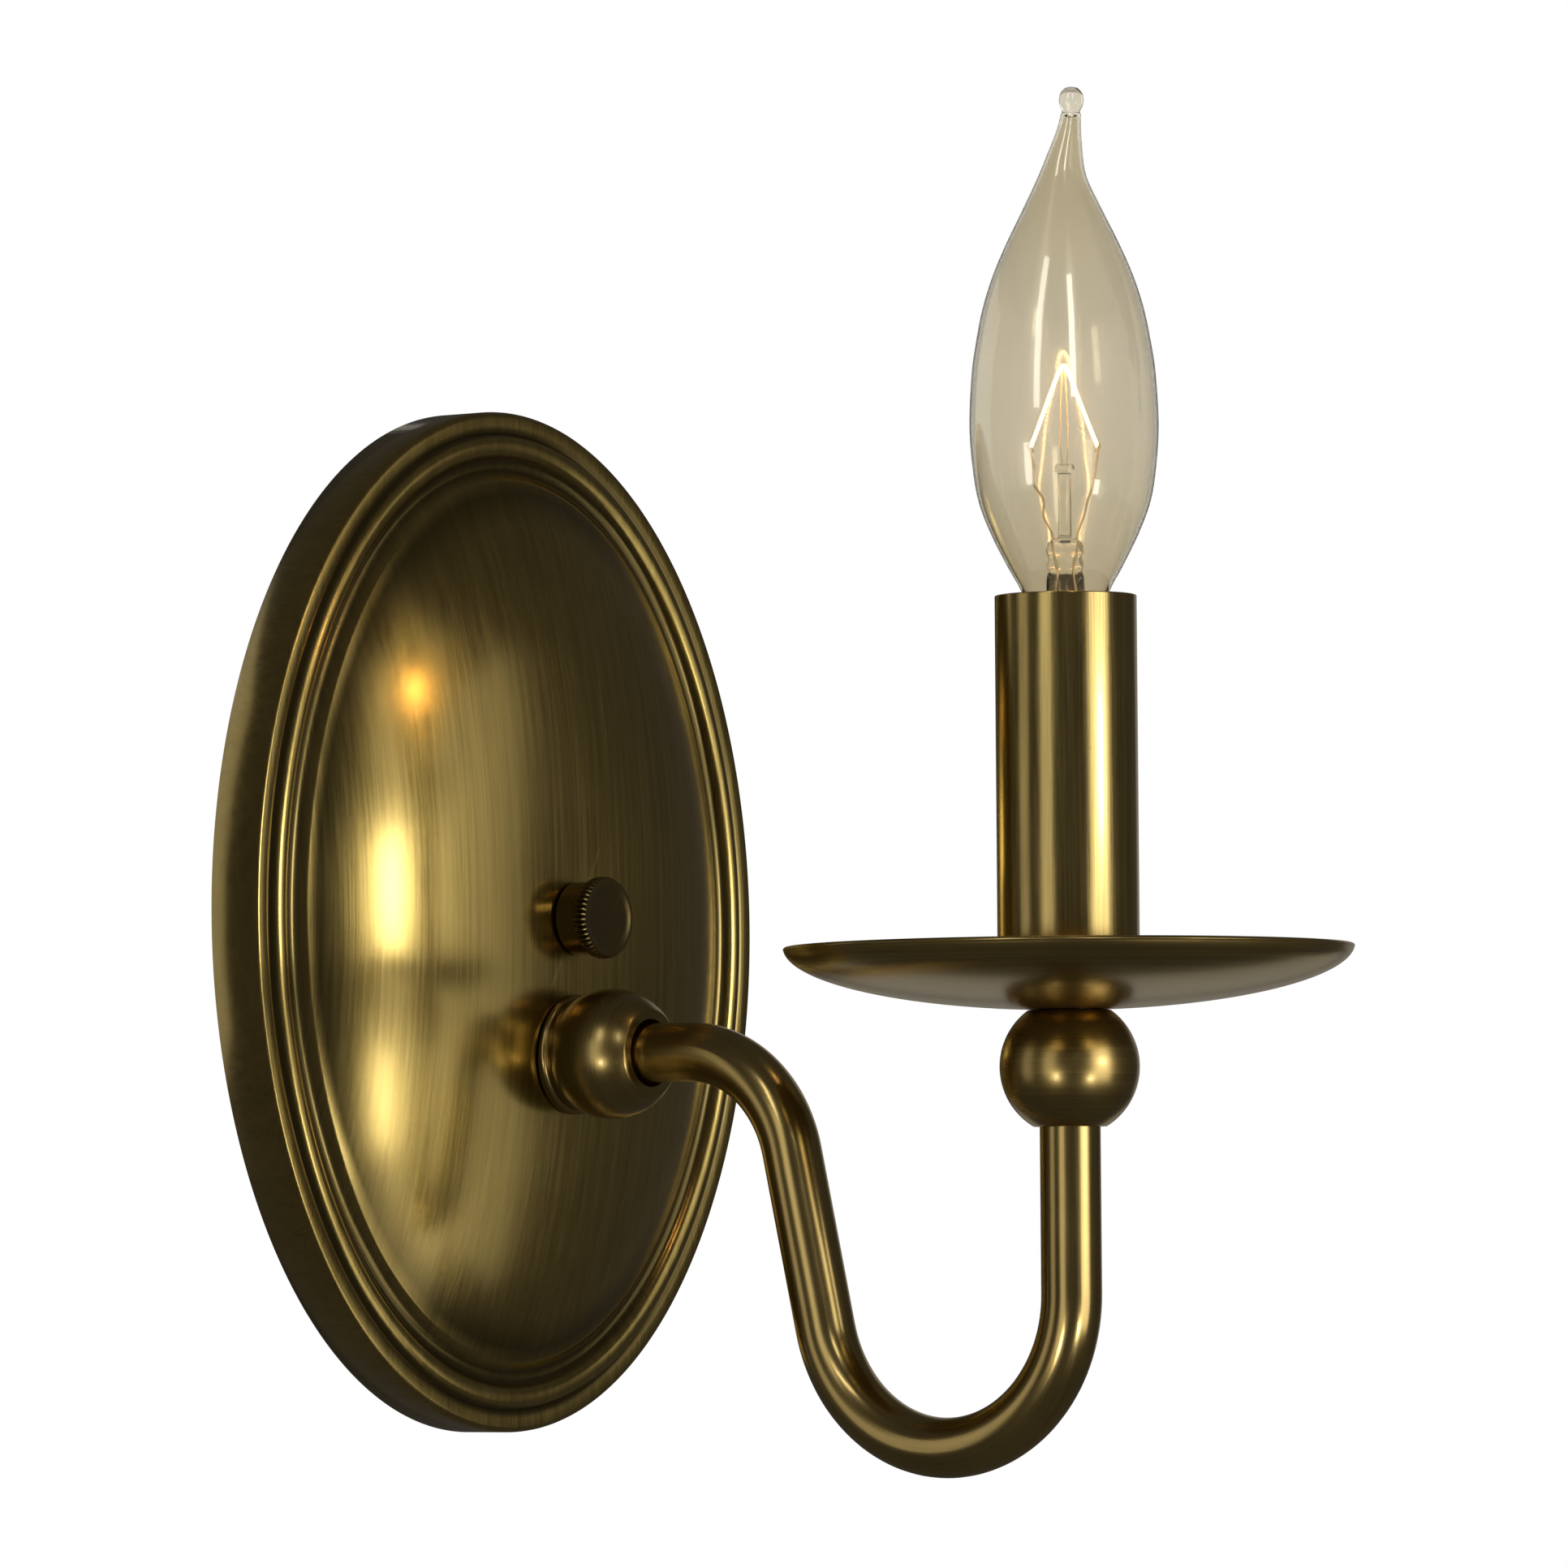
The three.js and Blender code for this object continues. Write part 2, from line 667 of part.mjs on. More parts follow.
const hubAxis = new THREE.Group();
hubAxis.position.y = HUB_Z;
hubAxis.add(
  piece("hub", hub(), antiqueBrass()),
  piece("hub_nipple", tube(NIPPLE_BORE, NIPPLE_RADIUS, NIPPLE_START, NIPPLE_END), zincSteel()),
  piece("hub_washer", tube(NIPPLE_HOLE, 8.2, 19.2, 20.4), zincSteel()),
  piece("hub_locknut", hexNut(14, NIPPLE_HOLE, 16, 18.9), zincSteel()),
);
outward.add(hubAxis);

const candle = new THREE.Group();
candle.position.y = -CANDLE_REACH;
const candleNipple = tube(NIPPLE_BORE, NIPPLE_RADIUS, BALL_STEP_Z + GAP, UPPER_NIPPLE_TOP_Z);
candle.add(
  piece("arm_ball", armBall(), antiqueBrass()),
  piece("candle_nipple", candleNipple, zincSteel()),
  piece("drip_pan", dripPan(), antiqueBrass()),
  piece("pan_washer", tube(NIPPLE_HOLE, 8.6, -16.5, -15.6), zincSteel()),
  piece("pan_locknut", hexNut(13, NIPPLE_HOLE, -15.3, -12.3), zincSteel()),
  piece("socket_bracket", socketBracket(), zincSteel()),
  piece("bracket_rivet", bracketRivet(), yellowBrass()),
  piece("socket_body", socketBody(), phenolic()),
  piece("socket_shell", socketShell(), yellowBrass()),
  piece("socket_contact", socketContact(), yellowBrass()),
  piece("terminal_hot", tube(1.5, 3.2, 18.8, 19.7, SMALL), yellowBrass()),
  piece("terminal_neutral", box(3.2, 3.2, 1.2, -6, 0, 19.1), yellowBrass()),
  piece("candle_sleeve", candleSleeve(), antiqueBrass()),
);

const bulb = new THREE.Group();
const filamentPlane = new THREE.Group();
filamentPlane.rotation.z = FILAMENT_TURN;
filamentPlane.add(
  piece("filament", filament(), tungsten()),
  piece("lead_wire_left", leadWire(-1), nickel()),
  piece("lead_wire_right", leadWire(1), nickel()),
  piece("filament_support", filamentSupport(), nickel()),
);
bulb.add(
  piece("bulb_contact_tip", bulbContactTip(), solder()),
  piece("bulb_insulator", bulbInsulator(), blackGlass()),
  piece("bulb_base", bulbBase(), yellowBrass()),
  piece("bulb_glass", bulbGlass(), clearGlass()),
  piece("bulb_stem", bulbStem(), clearGlass()),
  filamentPlane,
);
candle.add(bulb);

const group = new THREE.Group();
group.add(
  outward,
  piece("arm_tube", armTube(), antiqueBrass()),
  candle,
  piece("wire_hot", swept(fixtureWire(1, 0), WIRE_RADIUS, 50, 6), blackPvc()),
  piece("wire_neutral", swept(fixtureWire(-1, -6), WIRE_RADIUS, 50, 6), whitePvc()),
  piece("wire_nut_hot", wireNut(1), orangeNylon()),
  piece("wire_nut_neutral", wireNut(-1), orangeNylon()),
  piece("ground_wire", groundWire(), copper()),
);

export default group;
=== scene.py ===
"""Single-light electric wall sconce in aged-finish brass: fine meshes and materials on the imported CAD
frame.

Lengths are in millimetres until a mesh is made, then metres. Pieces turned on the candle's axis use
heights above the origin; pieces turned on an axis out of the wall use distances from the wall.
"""
import json
import math

import bmesh
import bpy
from mathutils import Matrix, Vector


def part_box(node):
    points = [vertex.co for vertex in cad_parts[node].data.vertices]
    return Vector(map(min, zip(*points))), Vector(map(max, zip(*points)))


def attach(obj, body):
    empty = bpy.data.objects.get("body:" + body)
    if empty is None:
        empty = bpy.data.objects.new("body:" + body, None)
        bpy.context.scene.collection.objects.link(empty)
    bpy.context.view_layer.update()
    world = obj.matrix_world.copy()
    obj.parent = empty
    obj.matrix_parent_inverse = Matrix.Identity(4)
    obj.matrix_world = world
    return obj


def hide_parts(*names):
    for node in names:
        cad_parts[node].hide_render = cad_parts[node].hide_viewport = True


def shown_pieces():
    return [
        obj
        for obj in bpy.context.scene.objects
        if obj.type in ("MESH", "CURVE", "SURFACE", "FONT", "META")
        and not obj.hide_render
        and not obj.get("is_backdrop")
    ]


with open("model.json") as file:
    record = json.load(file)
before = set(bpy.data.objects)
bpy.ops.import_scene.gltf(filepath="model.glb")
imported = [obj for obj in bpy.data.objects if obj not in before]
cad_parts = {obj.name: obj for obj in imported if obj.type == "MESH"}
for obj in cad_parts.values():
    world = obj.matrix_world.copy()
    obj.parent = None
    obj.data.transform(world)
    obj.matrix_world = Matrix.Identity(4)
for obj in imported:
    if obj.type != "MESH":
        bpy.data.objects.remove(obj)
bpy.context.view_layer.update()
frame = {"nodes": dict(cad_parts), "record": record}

MM = 0.001

# ---- sizes read from the frame, in millimetres ----


def node_box(node):
    low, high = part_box(node)
    return [v / MM for v in low], [v / MM for v in high]


plate_low, plate_high = node_box("backplate")
sleeve_low, sleeve_high = node_box("candle_sleeve")
pan_low, pan_high = node_box("drip_pan")
ball_low, ball_high = node_box("arm_ball")
hub_low, hub_high = node_box("hub")
knob_low, knob_high = node_box("knob")
strap_low, strap_high = node_box("mounting_strap")
screw_low, screw_high = node_box("ground_screw")
base_low, base_high = node_box("bulb_base")
tip_low, tip_high = node_box("bulb_contact_tip")

GAP = 0.3
ON_AXIS = 1e-6
REACH = -(sleeve_low[1] + sleeve_high[1]) / 2
HUB_Z = (hub_low[2] + hub_high[2]) / 2

PLATE_WIDE = plate_high[0]
PLATE_TALL = plate_high[2]
PLATE_SHEET = 1.0
RIM_HEIGHT = 10.0
DOME_INSET = 12.5
DOME_EDGE_HEIGHT = 11.1
DOME_HEIGHT = -plate_low[1]
DOME_RADIUS = PLATE_WIDE - DOME_INSET
OVAL_EXTRA = PLATE_TALL - PLATE_WIDE

PIPE_RADIUS = 5.1
PIPE_BORE = 3.8
NIPPLE_RADIUS = 4.7
NIPPLE_BORE = 3.5
NIPPLE_HOLE = NIPPLE_RADIUS + GAP
NIPPLE_PITCH = 0.94
PIPE_SEAT = PIPE_RADIUS + GAP
FIRST_BEND = 22.3
SECOND_BEND = 25.8
SECOND_BEND_Z = -65.5
LEAN = math.radians(12.7)

HUB_RADIUS = 11.3
HUB_CENTRE = 31.8
HUB_FACE_RADIUS = 7.4
FOOT_RADIUS = 10.4
FOOT_TOP = 24.9
FOOT_ROUNDING = 0.75
HUB_SEAT = 21.5
HUB_NECK = 9.15
ARM_START = 35.6

BALL_RADIUS = (ball_high[0] - ball_low[0]) / 2
BALL_BOTTOM_Z = ball_low[2]
BALL_Z = -27.65
BALL_STEP_Z = -33.3
PAN_RADIUS = pan_high[0]
PAN_RIM_Z = pan_high[2]
PAN_DEPTH = pan_high[2] - pan_low[2]
PAN_SHEET = 1.0
PAN_FLOOR_Z = PAN_RIM_Z - PAN_DEPTH
SLEEVE_RADIUS = sleeve_high[0]
SLEEVE_WALL = 0.7
SLEEVE_TOP_Z = sleeve_high[2]
SLEEVE_BOTTOM_Z = sleeve_low[2]

KNOB_FACE = -knob_low[1]
KNOB_RADIUS = knob_high[0]
STUD_RADIUS = 2.05
STUD_HOLE = STUD_RADIUS + GAP
STUD_END = 28.8
STUD_PITCH = 0.8
WASHER_FACE = 25.1

BASE_RADIUS = base_high[0]
BASE_BOTTOM_Z = base_low[2]
BASE_TOP_Z = base_high[2]
BASE_PITCH = 2.54
NECK_RADIUS = 4.9
GLASS_WALL = 0.6
FLAME_FLICK = 1.7
FILAMENT_TURN = math.radians(-53.5)
FILAMENT_APEX_Z = 90.2
FILAMENT_FOOT_Z = 76.2
FILAMENT_FOOT = 5.6

GROUND_SCREW_Z = (screw_low[2] + screw_high[2]) / 2
WIRE_RADIUS = 1.1
WIRE_OFFSET = 1.4
NUT_X = 16.0
NUT_MOUTH_Z = node_box("wire_nut_hot")[1][2]
NUT_HEIGHT = 8.5


# ---- outlines ----


def arc(centre_r, centre_h, radius, start, end, steps):
    """Points of an arc in the (radius, height) plane, between two angles in degrees."""
    angles = [math.radians(start + (end - start) * i / steps) for i in range(steps + 1)]
    return [(centre_r + radius * math.cos(a), centre_h + radius * math.sin(a)) for a in angles]


def softened(points, radius, steps=4):
    """Rounds the corners of an outline that turn by more than 25 degrees."""
    made = []
    count = len(points)
    for i, corner in enumerate(points):
        here = Vector(corner)
        before = Vector(points[i - 1]) - here
        after = Vector(points[(i + 1) % count]) - here
        tiny = min(before.length, after.length) < 1e-6
        if corner[0] < ON_AXIS or tiny or before.angle(after) > math.radians(155):
            made.append(corner)
            continue
        opening = before.angle(after)
        back = min(radius / math.tan(opening / 2), before.length * 0.45, after.length * 0.45)
        start = here + before.normalized() * back
        end = here + after.normalized() * back
        for k in range(steps + 1):
            t = k / steps
            made.append(tuple((1 - t) ** 2 * start + 2 * t * (1 - t) * here + t * t * end))
    return made


def ring(inner, outer, low, high, rounding=0.2):
    """Outline of a washer or a short tube."""
    return softened([(inner, low), (outer, low), (outer, high), (inner, high)], rounding)


def shifted(outline, across, up):
    return [(x + across, y + up) for x, y in outline]


def smooth_line(points, steps):
    """A Catmull-Rom line through points, with steps between each two."""
    knots = [Vector(p) for p in points]
    ends = [2 * knots[0] - knots[1], *knots, 2 * knots[-1] - knots[-2]]
    made = []
    for i in range(1, len(ends) - 2):
        a, b, c, d = ends[i - 1 : i + 3]
        for k in range(steps):
            t = k / steps
            bend = (2 * a - 5 * b + 4 * c - d) * t * t + (3 * b - a - 3 * c + d) * t ** 3
            made.append(0.5 * (2 * b + (c - a) * t + bend))
    made.append(knots[-1])
    return made


def smoothstep(value, low, high):
    t = min(1.0, max(0.0, (value - low) / (high - low)))
    return t * t * (3 - 2 * t)


def hump(value, rise, top, brink, foot):
    """Up from 0 to 1 between rise and top, and down again between brink and foot."""
    return smoothstep(value, rise, top) * (1 - smoothstep(value, brink, foot))


# ---- meshes ----


def upright(x, y, height):
    """Candle axis: local up is up."""
    return (x, y - REACH, height)


def outward(centre_z):
    """An axis out of the wall at a height: local up is away from the wall."""
    return lambda x, y, height: (x, -height, centre_z + y)


def new_object(name, data):
    thing = bpy.data.objects.new(name, data)
    bpy.context.scene.collection.objects.link(thing)
    return thing


def evaluated(thing):
    bpy.context.view_layer.update()
    return thing.evaluated_get(bpy.context.evaluated_depsgraph_get())


def bridge(bm, first, second):
    """Quads between two rings of vertices."""
    for k in range(len(first)):
        n = (k + 1) % len(first)
        bm.faces.new((first[k], first[n], second[n], second[k]))


def finish_mesh(name, bm, grain, sharp=35):
    """Merges, orients and shades a mesh, stores its grain coordinates and scales it to metres."""
    bmesh.ops.remove_doubles(bm, verts=bm.verts, dist=1e-5)
    bmesh.ops.dissolve_degenerate(bm, edges=bm.edges, dist=1e-6)
    bmesh.ops.recalc_face_normals(bm, faces=bm.faces)
    for face in bm.faces:
        face.smooth = True
    for edge in bm.edges:
        if len(edge.link_faces) == 2 and edge.calc_face_angle(0) > math.radians(sharp):
            edge.smooth = False
    grains = [grain(v.co) for v in bm.verts]
    for v in bm.verts:
        v.co *= MM
    mesh = bpy.data.meshes.new(name)
    bm.to_mesh(mesh)
    bm.free()
    kept = mesh.attributes.new("grain", "FLOAT_VECTOR", "POINT")
    kept.data.foreach_set("vector", [c for g in grains for c in g])
    return new_object(name, mesh)


def antique(piece, shade):
    """Stores how much painted shade darkens the colour at each point, from 0 to 1."""
    kept = piece.data.attributes.new("antique", "FLOAT", "POINT")
    kept.data.foreach_set("value", [shade(v.co / MM) for v in piece.data.vertices])


ALONG_GRAIN = 0.012  # brush marks are this much finer across than along


def vertical_grain(point):
    return (point.x, point.y * 0.15, point.z * ALONG_GRAIN)


def turned_grain(place):
    """Marks that run round an axis: the grain varies with radius and height only."""
    origin = Vector(place(0, 0, 0))
    axis = Vector(place(0, 0, 1)) - origin

    def grain(point):
        from_axis = point - origin
        height = from_axis.dot(axis)
        across = from_axis - axis * height
        turn = math.atan2(across.dot(Vector(place(0, 1, 0)) - origin), across.x)
        return (across.length, height, math.sin(turn) * 0.15)

    return grain


def turned(name, outline, segments=96, place=upright, shape=None, grain=None, sharp=35):
    """Revolves a closed (radius, height) outline. shape(radius, height, angle) may change each point."""
    bm = bmesh.new()
    rows = []
    for radius, height in outline:
        row = []
        for k in range(segments):
            angle = 2 * math.pi * k / segments
            r, h = shape(radius, height, angle) if shape else (radius, height)
            row.append(bm.verts.new(place(r * math.cos(angle), r * math.sin(angle), h)))
        rows.append(row)
    for i, row in enumerate(rows):
        n = (i + 1) % len(rows)
        if max(outline[i][0], outline[n][0]) >= ON_AXIS:
            bridge(bm, row, rows[n])
    return finish_mesh(name, bm, grain or turned_grain(place), sharp)


def swept(name, points, radius, sides=24, bore=0.0):
    """A round section along points, hollow where a bore is given."""
    bm = bmesh.new()
    line = [Vector(p) for p in points]
    across = Vector((1, 0, 0))
    rows = {r: [] for r in (radius, bore) if r}
    grains = {}
    length = 0.0

    def key(point):
        return tuple(round(c, 4) for c in point)

    for i, point in enumerate(line):
        if i:
            length += (point - line[i - 1]).length
        ahead = (line[min(i + 1, len(line) - 1)] - line[max(i - 1, 0)]).normalized()
        across = (across - ahead * across.dot(ahead)).normalized()
        third = ahead.cross(across)
        for r, kept in rows.items():
            row = []
            for k in range(sides):
                angle = 2 * math.pi * k / sides
                offset = across * math.cos(angle) + third * math.sin(angle)
                vert = bm.verts.new(point + offset * r)
                grains[key(vert.co)] = (math.cos(angle) * r, math.sin(angle) * r, length * ALONG_GRAIN)
                row.append(vert)
            kept.append(row)
    for kept in rows.values():
        for low, high in zip(kept, kept[1:]):
            bridge(bm, low, high)
    for end in (0, -1):
        if bore:
            bridge(bm, rows[radius][end], rows[bore][end])
        else:
            bm.faces.new(rows[radius][end])

    def grain(point):
        return grains.get(key(point), (point.x, point.y, point.z * ALONG_GRAIN))

    return finish_mesh(name, bm, grain, 40)


def flat_sheet(name, outlines, thickness, edge, place):
    """A sheet cut to 2D outlines, the first outside and the rest holes, with rounded edges."""
    curve = bpy.data.curves.new(name, "CURVE")
    curve.dimensions = "2D"
    curve.fill_mode = "BOTH"
    curve.extrude = (thickness / 2 - edge) * MM
    curve.bevel_depth = edge * MM
    curve.bevel_resolution = 2
    curve.offset = -edge * MM
    for outline in outlines:
        spline = curve.splines.new("POLY")
        spline.points.add(len(outline) - 1)
        spline.use_cyclic_u = True
        for point, (x, y) in zip(spline.points, outline):
            point.co = (x * MM, y * MM, 0, 1)
    holder = new_object(name, curve)
    bm = bmesh.new()
    bm.from_mesh(evaluated(holder).to_mesh())
    bpy.data.objects.remove(holder)
    for v in bm.verts:
        v.co = Vector(place(v.co.x / MM, v.co.y / MM, v.co.z / MM + thickness / 2))
    sheet = finish_mesh(name, bm, vertical_grain, 30)
    for face in sheet.data.polygons:
        face.use_smooth = abs(face.normal.y) < 0.99
    return sheet


def cut(piece, *tools):
    """Takes tools away from a piece."""
    for tool in tools:
        modifier = piece.modifiers.new("cut", "BOOLEAN")
        modifier.object = tool
        modifier.operation = "DIFFERENCE"
        modifier.solver = "EXACT"
    mesh = bpy.data.meshes.new_from_object(evaluated(piece))
    piece.modifiers.clear()
    piece.data = mesh
    for tool in tools:
        bpy.data.objects.remove(tool)


def drill(radius, low, high, place, segments=64):
    return turned("drill", [(0, low), (radius, low), (radius, high), (0, high)], segments, place)


# ---- materials ----


class Nodes:
    """A short way to write the node tree of a material or world."""

    def __init__(self, owner, output="OutputMaterial"):
        owner.use_nodes = True
        self.owner = owner
        self.tree = owner.node_tree
        self.tree.nodes.clear()
        self.output = self.add(output)

    def feed(self, socket, value):
        """Sets a socket to a value, or links it to another socket."""
        if isinstance(value, (int, float)):
            socket.default_value = value
        elif isinstance(value, tuple):
            socket.default_value = (*value, 1)[: len(socket.default_value)]
        else:
            self.tree.links.new(value, socket)

    def add(self, kind, sockets=None, **settings):
        node = self.tree.nodes.new("ShaderNode" + kind)
        for key, value in settings.items():
            setattr(node, key, value)
        for key, value in (sockets or {}).items():
            self.feed(node.inputs[key], value)
        return node

    def here(self):
        return self.add("TexCoord").outputs["Object"]

    def height(self, place):
        return self.add("SeparateXYZ", {0: place}).outputs["Z"]

    def noise(self, vector, scale, detail=2.0, roughness=0.5):
        sockets = {"Vector": vector, "Scale": scale, "Detail": detail, "Roughness": roughness}
        return self.add("TexNoise", sockets).outputs["Fac"]

    def ramp(self, value, *stops):
        node = self.add("ValToRGB", {"Fac": value})
        elements = node.color_ramp.elements
        while len(elements) < len(stops):
            elements.new(0.5)
        for element, (place, color) in zip(elements, stops):
            element.position = place
            element.color = (*color, 1)
        return node.outputs["Color"]

    def span(self, value, low, high, from_low=0.0, from_high=1.0):
        sockets = {"Value": value, "From Min": from_low, "From Max": from_high, "To Min": low, "To Max": high}
        return self.add("MapRange", sockets).outputs["Result"]

    def math(self, operation, a, b):
        return self.add("Math", {0: a, 1: b}, operation=operation).outputs[0]

    def mix(self, factor, a, b, blend="MIX"):
        return self.add("Mix", {0: factor, 6: a, 7: b}, data_type="RGBA", blend_type=blend).outputs[2]

    def bump(self, height, strength, distance):
        sockets = {"Height": height, "Strength": strength, "Distance": distance}
        return self.add("Bump", sockets).outputs["Normal"]

    def scaled(self, vector, factors):
        return self.add("Mapping", {"Vector": vector, "Scale": factors}).outputs["Vector"]

    def surface(self, **values):
        sockets = {key.replace("_", " "): value for key, value in values.items()}
        return self.show(self.add("BsdfPrincipled", sockets))

    def show(self, shader):
        self.feed(self.output.inputs["Surface"], shader.outputs[0])
        return shader


WHITE = (1.0, 1.0, 1.0)


def brushed_metal(
    name, bright, dark, roughness, brush, anisotropic=0.0, own_grain=True, patina=0.35, lacquer=0.0
):
    """Metal with fine brush marks along its grain, cloudy patina, recesses made darker by patina and painted
    shade, and worn edges.
    """
    n = Nodes(bpy.data.materials.new(name))
    place = n.here()
    if own_grain:
        marks = n.add("Attribute", attribute_name="grain").outputs["Vector"]
    else:
        marks = n.scaled(place, (1000, 1000, 12))
    fine = n.noise(marks, 3.1, 3.0, 0.65)
    broad = n.noise(marks, 0.75)
    clouds = n.noise(place, 38, 4.0, 0.6)
    specks = n.noise(place, 900)
    pointed = n.add("NewGeometry").outputs["Pointiness"]
    outside_painted_hollow_shade = n.span(pointed, 0.0, 1.0, 0.42, 0.50)
    edge = n.span(pointed, 0.0, 1.0, 0.53, 0.62)
    tone = n.mix(patina, bright, n.ramp(clouds, (0.32, dark), (0.68, bright)))
    lines = n.ramp(fine, (0.3, (0.62, 0.60, 0.56)), (0.62, WHITE))
    tone = n.mix(brush, tone, lines, "MULTIPLY")
    streaks = n.ramp(broad, (0.35, (0.74, 0.72, 0.66)), (0.65, WHITE))
    tone = n.mix(brush, tone, streaks, "MULTIPLY")
    # Patina and painted shade: concave points are made darker.
    tone = n.mix(n.math("MULTIPLY", n.math("SUBTRACT", 1.0, outside_painted_hollow_shade), 0.55), tone, dark)
    worn = tuple(min(1.0, c * 1.22) for c in bright)
    tone = n.mix(n.math("MULTIPLY", edge, 0.55), tone, worn)
    spots = n.ramp(specks, (0.70, WHITE), (0.78, (0.62, 0.58, 0.52)))
    tone = n.mix(0.35, tone, spots, "MULTIPLY")
    # Painted shade stored on the plate's points takes the colour almost to black.
    painted_shade_amount = n.add("Attribute", attribute_name="antique").outputs["Fac"]
    tone = n.mix(painted_shade_amount, tone, tuple(c * 0.22 for c in dark))
    rough = n.math("ADD", n.span(fine, -0.05, 0.07), n.span(clouds, roughness - 0.035, roughness + 0.035))
    rough = n.math("ADD", rough, n.span(broad, -0.02, 0.02))
    normal = n.bump(n.math("ADD", fine, n.math("MULTIPLY", broad, 0.7)), 0.22 * brush + 0.03, 0.00003)
    extras = {}
    if lacquer:
        extras |= {"Coat_Weight": lacquer, "Coat_Roughness": 0.16, "Coat_IOR": 1.5}
    if anisotropic:
        tangent = n.add("Tangent", direction_type="RADIAL", axis="Z").outputs[0]
        extras |= {"Anisotropic": anisotropic, "Tangent": tangent}
    n.surface(Base_Color=tone, Metallic=1.0, Roughness=rough, Normal=normal, **extras)
    return n.owner


def moulded(name, color, darker, roughness, coat=0.0):
    """Moulded plastic, ceramic or wire covering, with faint mottling and an uneven skin."""
    n = Nodes(bpy.data.materials.new(name))
    place = n.here()
    clouds = n.noise(place, 60, 3.0)
    skin = n.noise(place, 420, 3.0, 0.6)
    tone = n.mix(n.span(clouds, 0.1, 0.9, 0.3, 0.7), darker, color)
    rough = n.span(skin, roughness - 0.08, roughness + 0.1)
    normal = n.bump(skin, 0.12, 0.0001)
    n.surface(Base_Color=tone, Roughness=rough, Normal=normal, Coat_Weight=coat)
    return n.owner


def lamp_glass(name, tint, waviness, scale):
    """Blown glass: a little uneven, faintly tinted, paler round the filament with painted light, darker
    edge-on with painted shade, and clear to its lamps.
    """
    n = Nodes(bpy.data.materials.new(name))
    place = n.here()
    waves = n.noise(n.scaled(place, (1, 1, 0.35)), scale)
    seeds = n.noise(place, 1100, 1.0)
    tone = n.mix(n.span(waves, 0.0, 1.0, 0.35, 0.65), tint, tuple(min(1.0, c * 1.05) for c in tint))
    # Painted light: the glass is paler at the filament's heights, as if lit by it.
    height = n.height(place)
    lit_low = n.span(height, 0.0, 1.0, 0.055, 0.078)
    lit_high = n.span(height, 1.0, 0.0, 0.09, 0.118)
    tone = n.mix(n.math("MULTIPLY", lit_low, lit_high), tone, tuple(c ** 0.72 for c in tint))
    # Painted shade: the glass is darker where it is seen edge-on.
    facing = n.add("LayerWeight", {"Blend": 0.25}).outputs["Facing"]
    tone = n.mix(n.span(facing, 0.0, 0.9, 0.55, 1.0), tone, tuple(c * 0.35 for c in tint))
    rough = n.span(seeds, 0.0, 0.03, 0.55, 0.8)
    normal = n.bump(waves, waviness, 0.0006)
    shader = n.surface(Base_Color=tone, Roughness=rough, Normal=normal, Transmission_Weight=1.0, IOR=1.47,
                       Coat_Weight=0.7, Coat_Roughness=0.14)
    clear = n.add("BsdfTransparent", {"Color": (0.93, 0.91, 0.86)})
    shadow = n.add("LightPath").outputs["Is Shadow Ray"]
    n.show(n.add("MixShader", {0: shadow, 1: shader.outputs[0], 2: clear.outputs[0]}))
    return n.owner


def glowing(name, core, rim, strength):
    """A hot filament: brighter along the middle of each leg than at its cooler ends."""
    n = Nodes(bpy.data.materials.new(name))
    place = n.here()
    flicker = n.noise(place, 600)
    heat = n.span(n.height(place), 0.35, 1.0, FILAMENT_FOOT_Z * MM, (FILAMENT_FOOT_Z + 3) * MM)
    tone = n.mix(n.math("MULTIPLY", heat, flicker), rim, core)
    power = n.math("MULTIPLY", heat, strength)
    n.surface(Base_Color=(0.05, 0.04, 0.03), Roughness=0.6, Emission_Color=tone, Emission_Strength=power)
    return n.owner


BRASS_BRIGHT = (0.64, 0.485, 0.155)
BRASS_DARK = (0.37, 0.28, 0.10)
BRASS_SHADE = (0.28, 0.21, 0.09)
BARE_BRASS = (0.83, 0.63, 0.28), (0.58, 0.42, 0.18)
ZINC = (0.66, 0.67, 0.68), (0.42, 0.43, 0.44)
plate_brass = brushed_metal(
    "brass_brushed_plate", BRASS_BRIGHT, BRASS_DARK, 0.2, 0.5, 0.4, patina=0.2, lacquer=0.3)
sleeve_brass = brushed_metal(
    "brass_brushed_sleeve", (0.70, 0.54, 0.20), BRASS_DARK, 0.18, 0.8, 0.4, patina=0.15, lacquer=0.5)
turned_brass = brushed_metal(
    "brass_turned", (0.50, 0.365, 0.13), (0.22, 0.165, 0.07), 0.28, 0.3, lacquer=0.35)
pan_brass = brushed_metal(
    "brass_spun_pan", (0.56, 0.415, 0.15), BRASS_SHADE, 0.29, 0.4, lacquer=0.3)
arm_brass = brushed_metal(
    "brass_drawn_arm", (0.62, 0.46, 0.17), BRASS_SHADE, 0.21, 0.35, lacquer=0.3)
knob_brass = brushed_metal(
    "brass_knob", (0.42, 0.315, 0.125), (0.17, 0.13, 0.06), 0.22, 0.35, lacquer=0.4)
bright_brass = brushed_metal("brass_bright", *BARE_BRASS, 0.25, 0.3)
zinc = brushed_metal("zinc_plate", *ZINC, 0.36, 0.35, patina=0.8)
zinc_cad = brushed_metal("zinc_plate_cad", *ZINC, 0.36, 0.3, 0, False)
brass_cad = brushed_metal("brass_bright_cad", *BARE_BRASS, 0.25, 0.3, 0, False)
green_zinc = brushed_metal("green_plate", (0.10, 0.42, 0.17), (0.04, 0.22, 0.09), 0.38, 0.3)
bare_copper = brushed_metal("copper_wire", (0.86, 0.45, 0.27), (0.52, 0.24, 0.14), 0.3, 0.35)
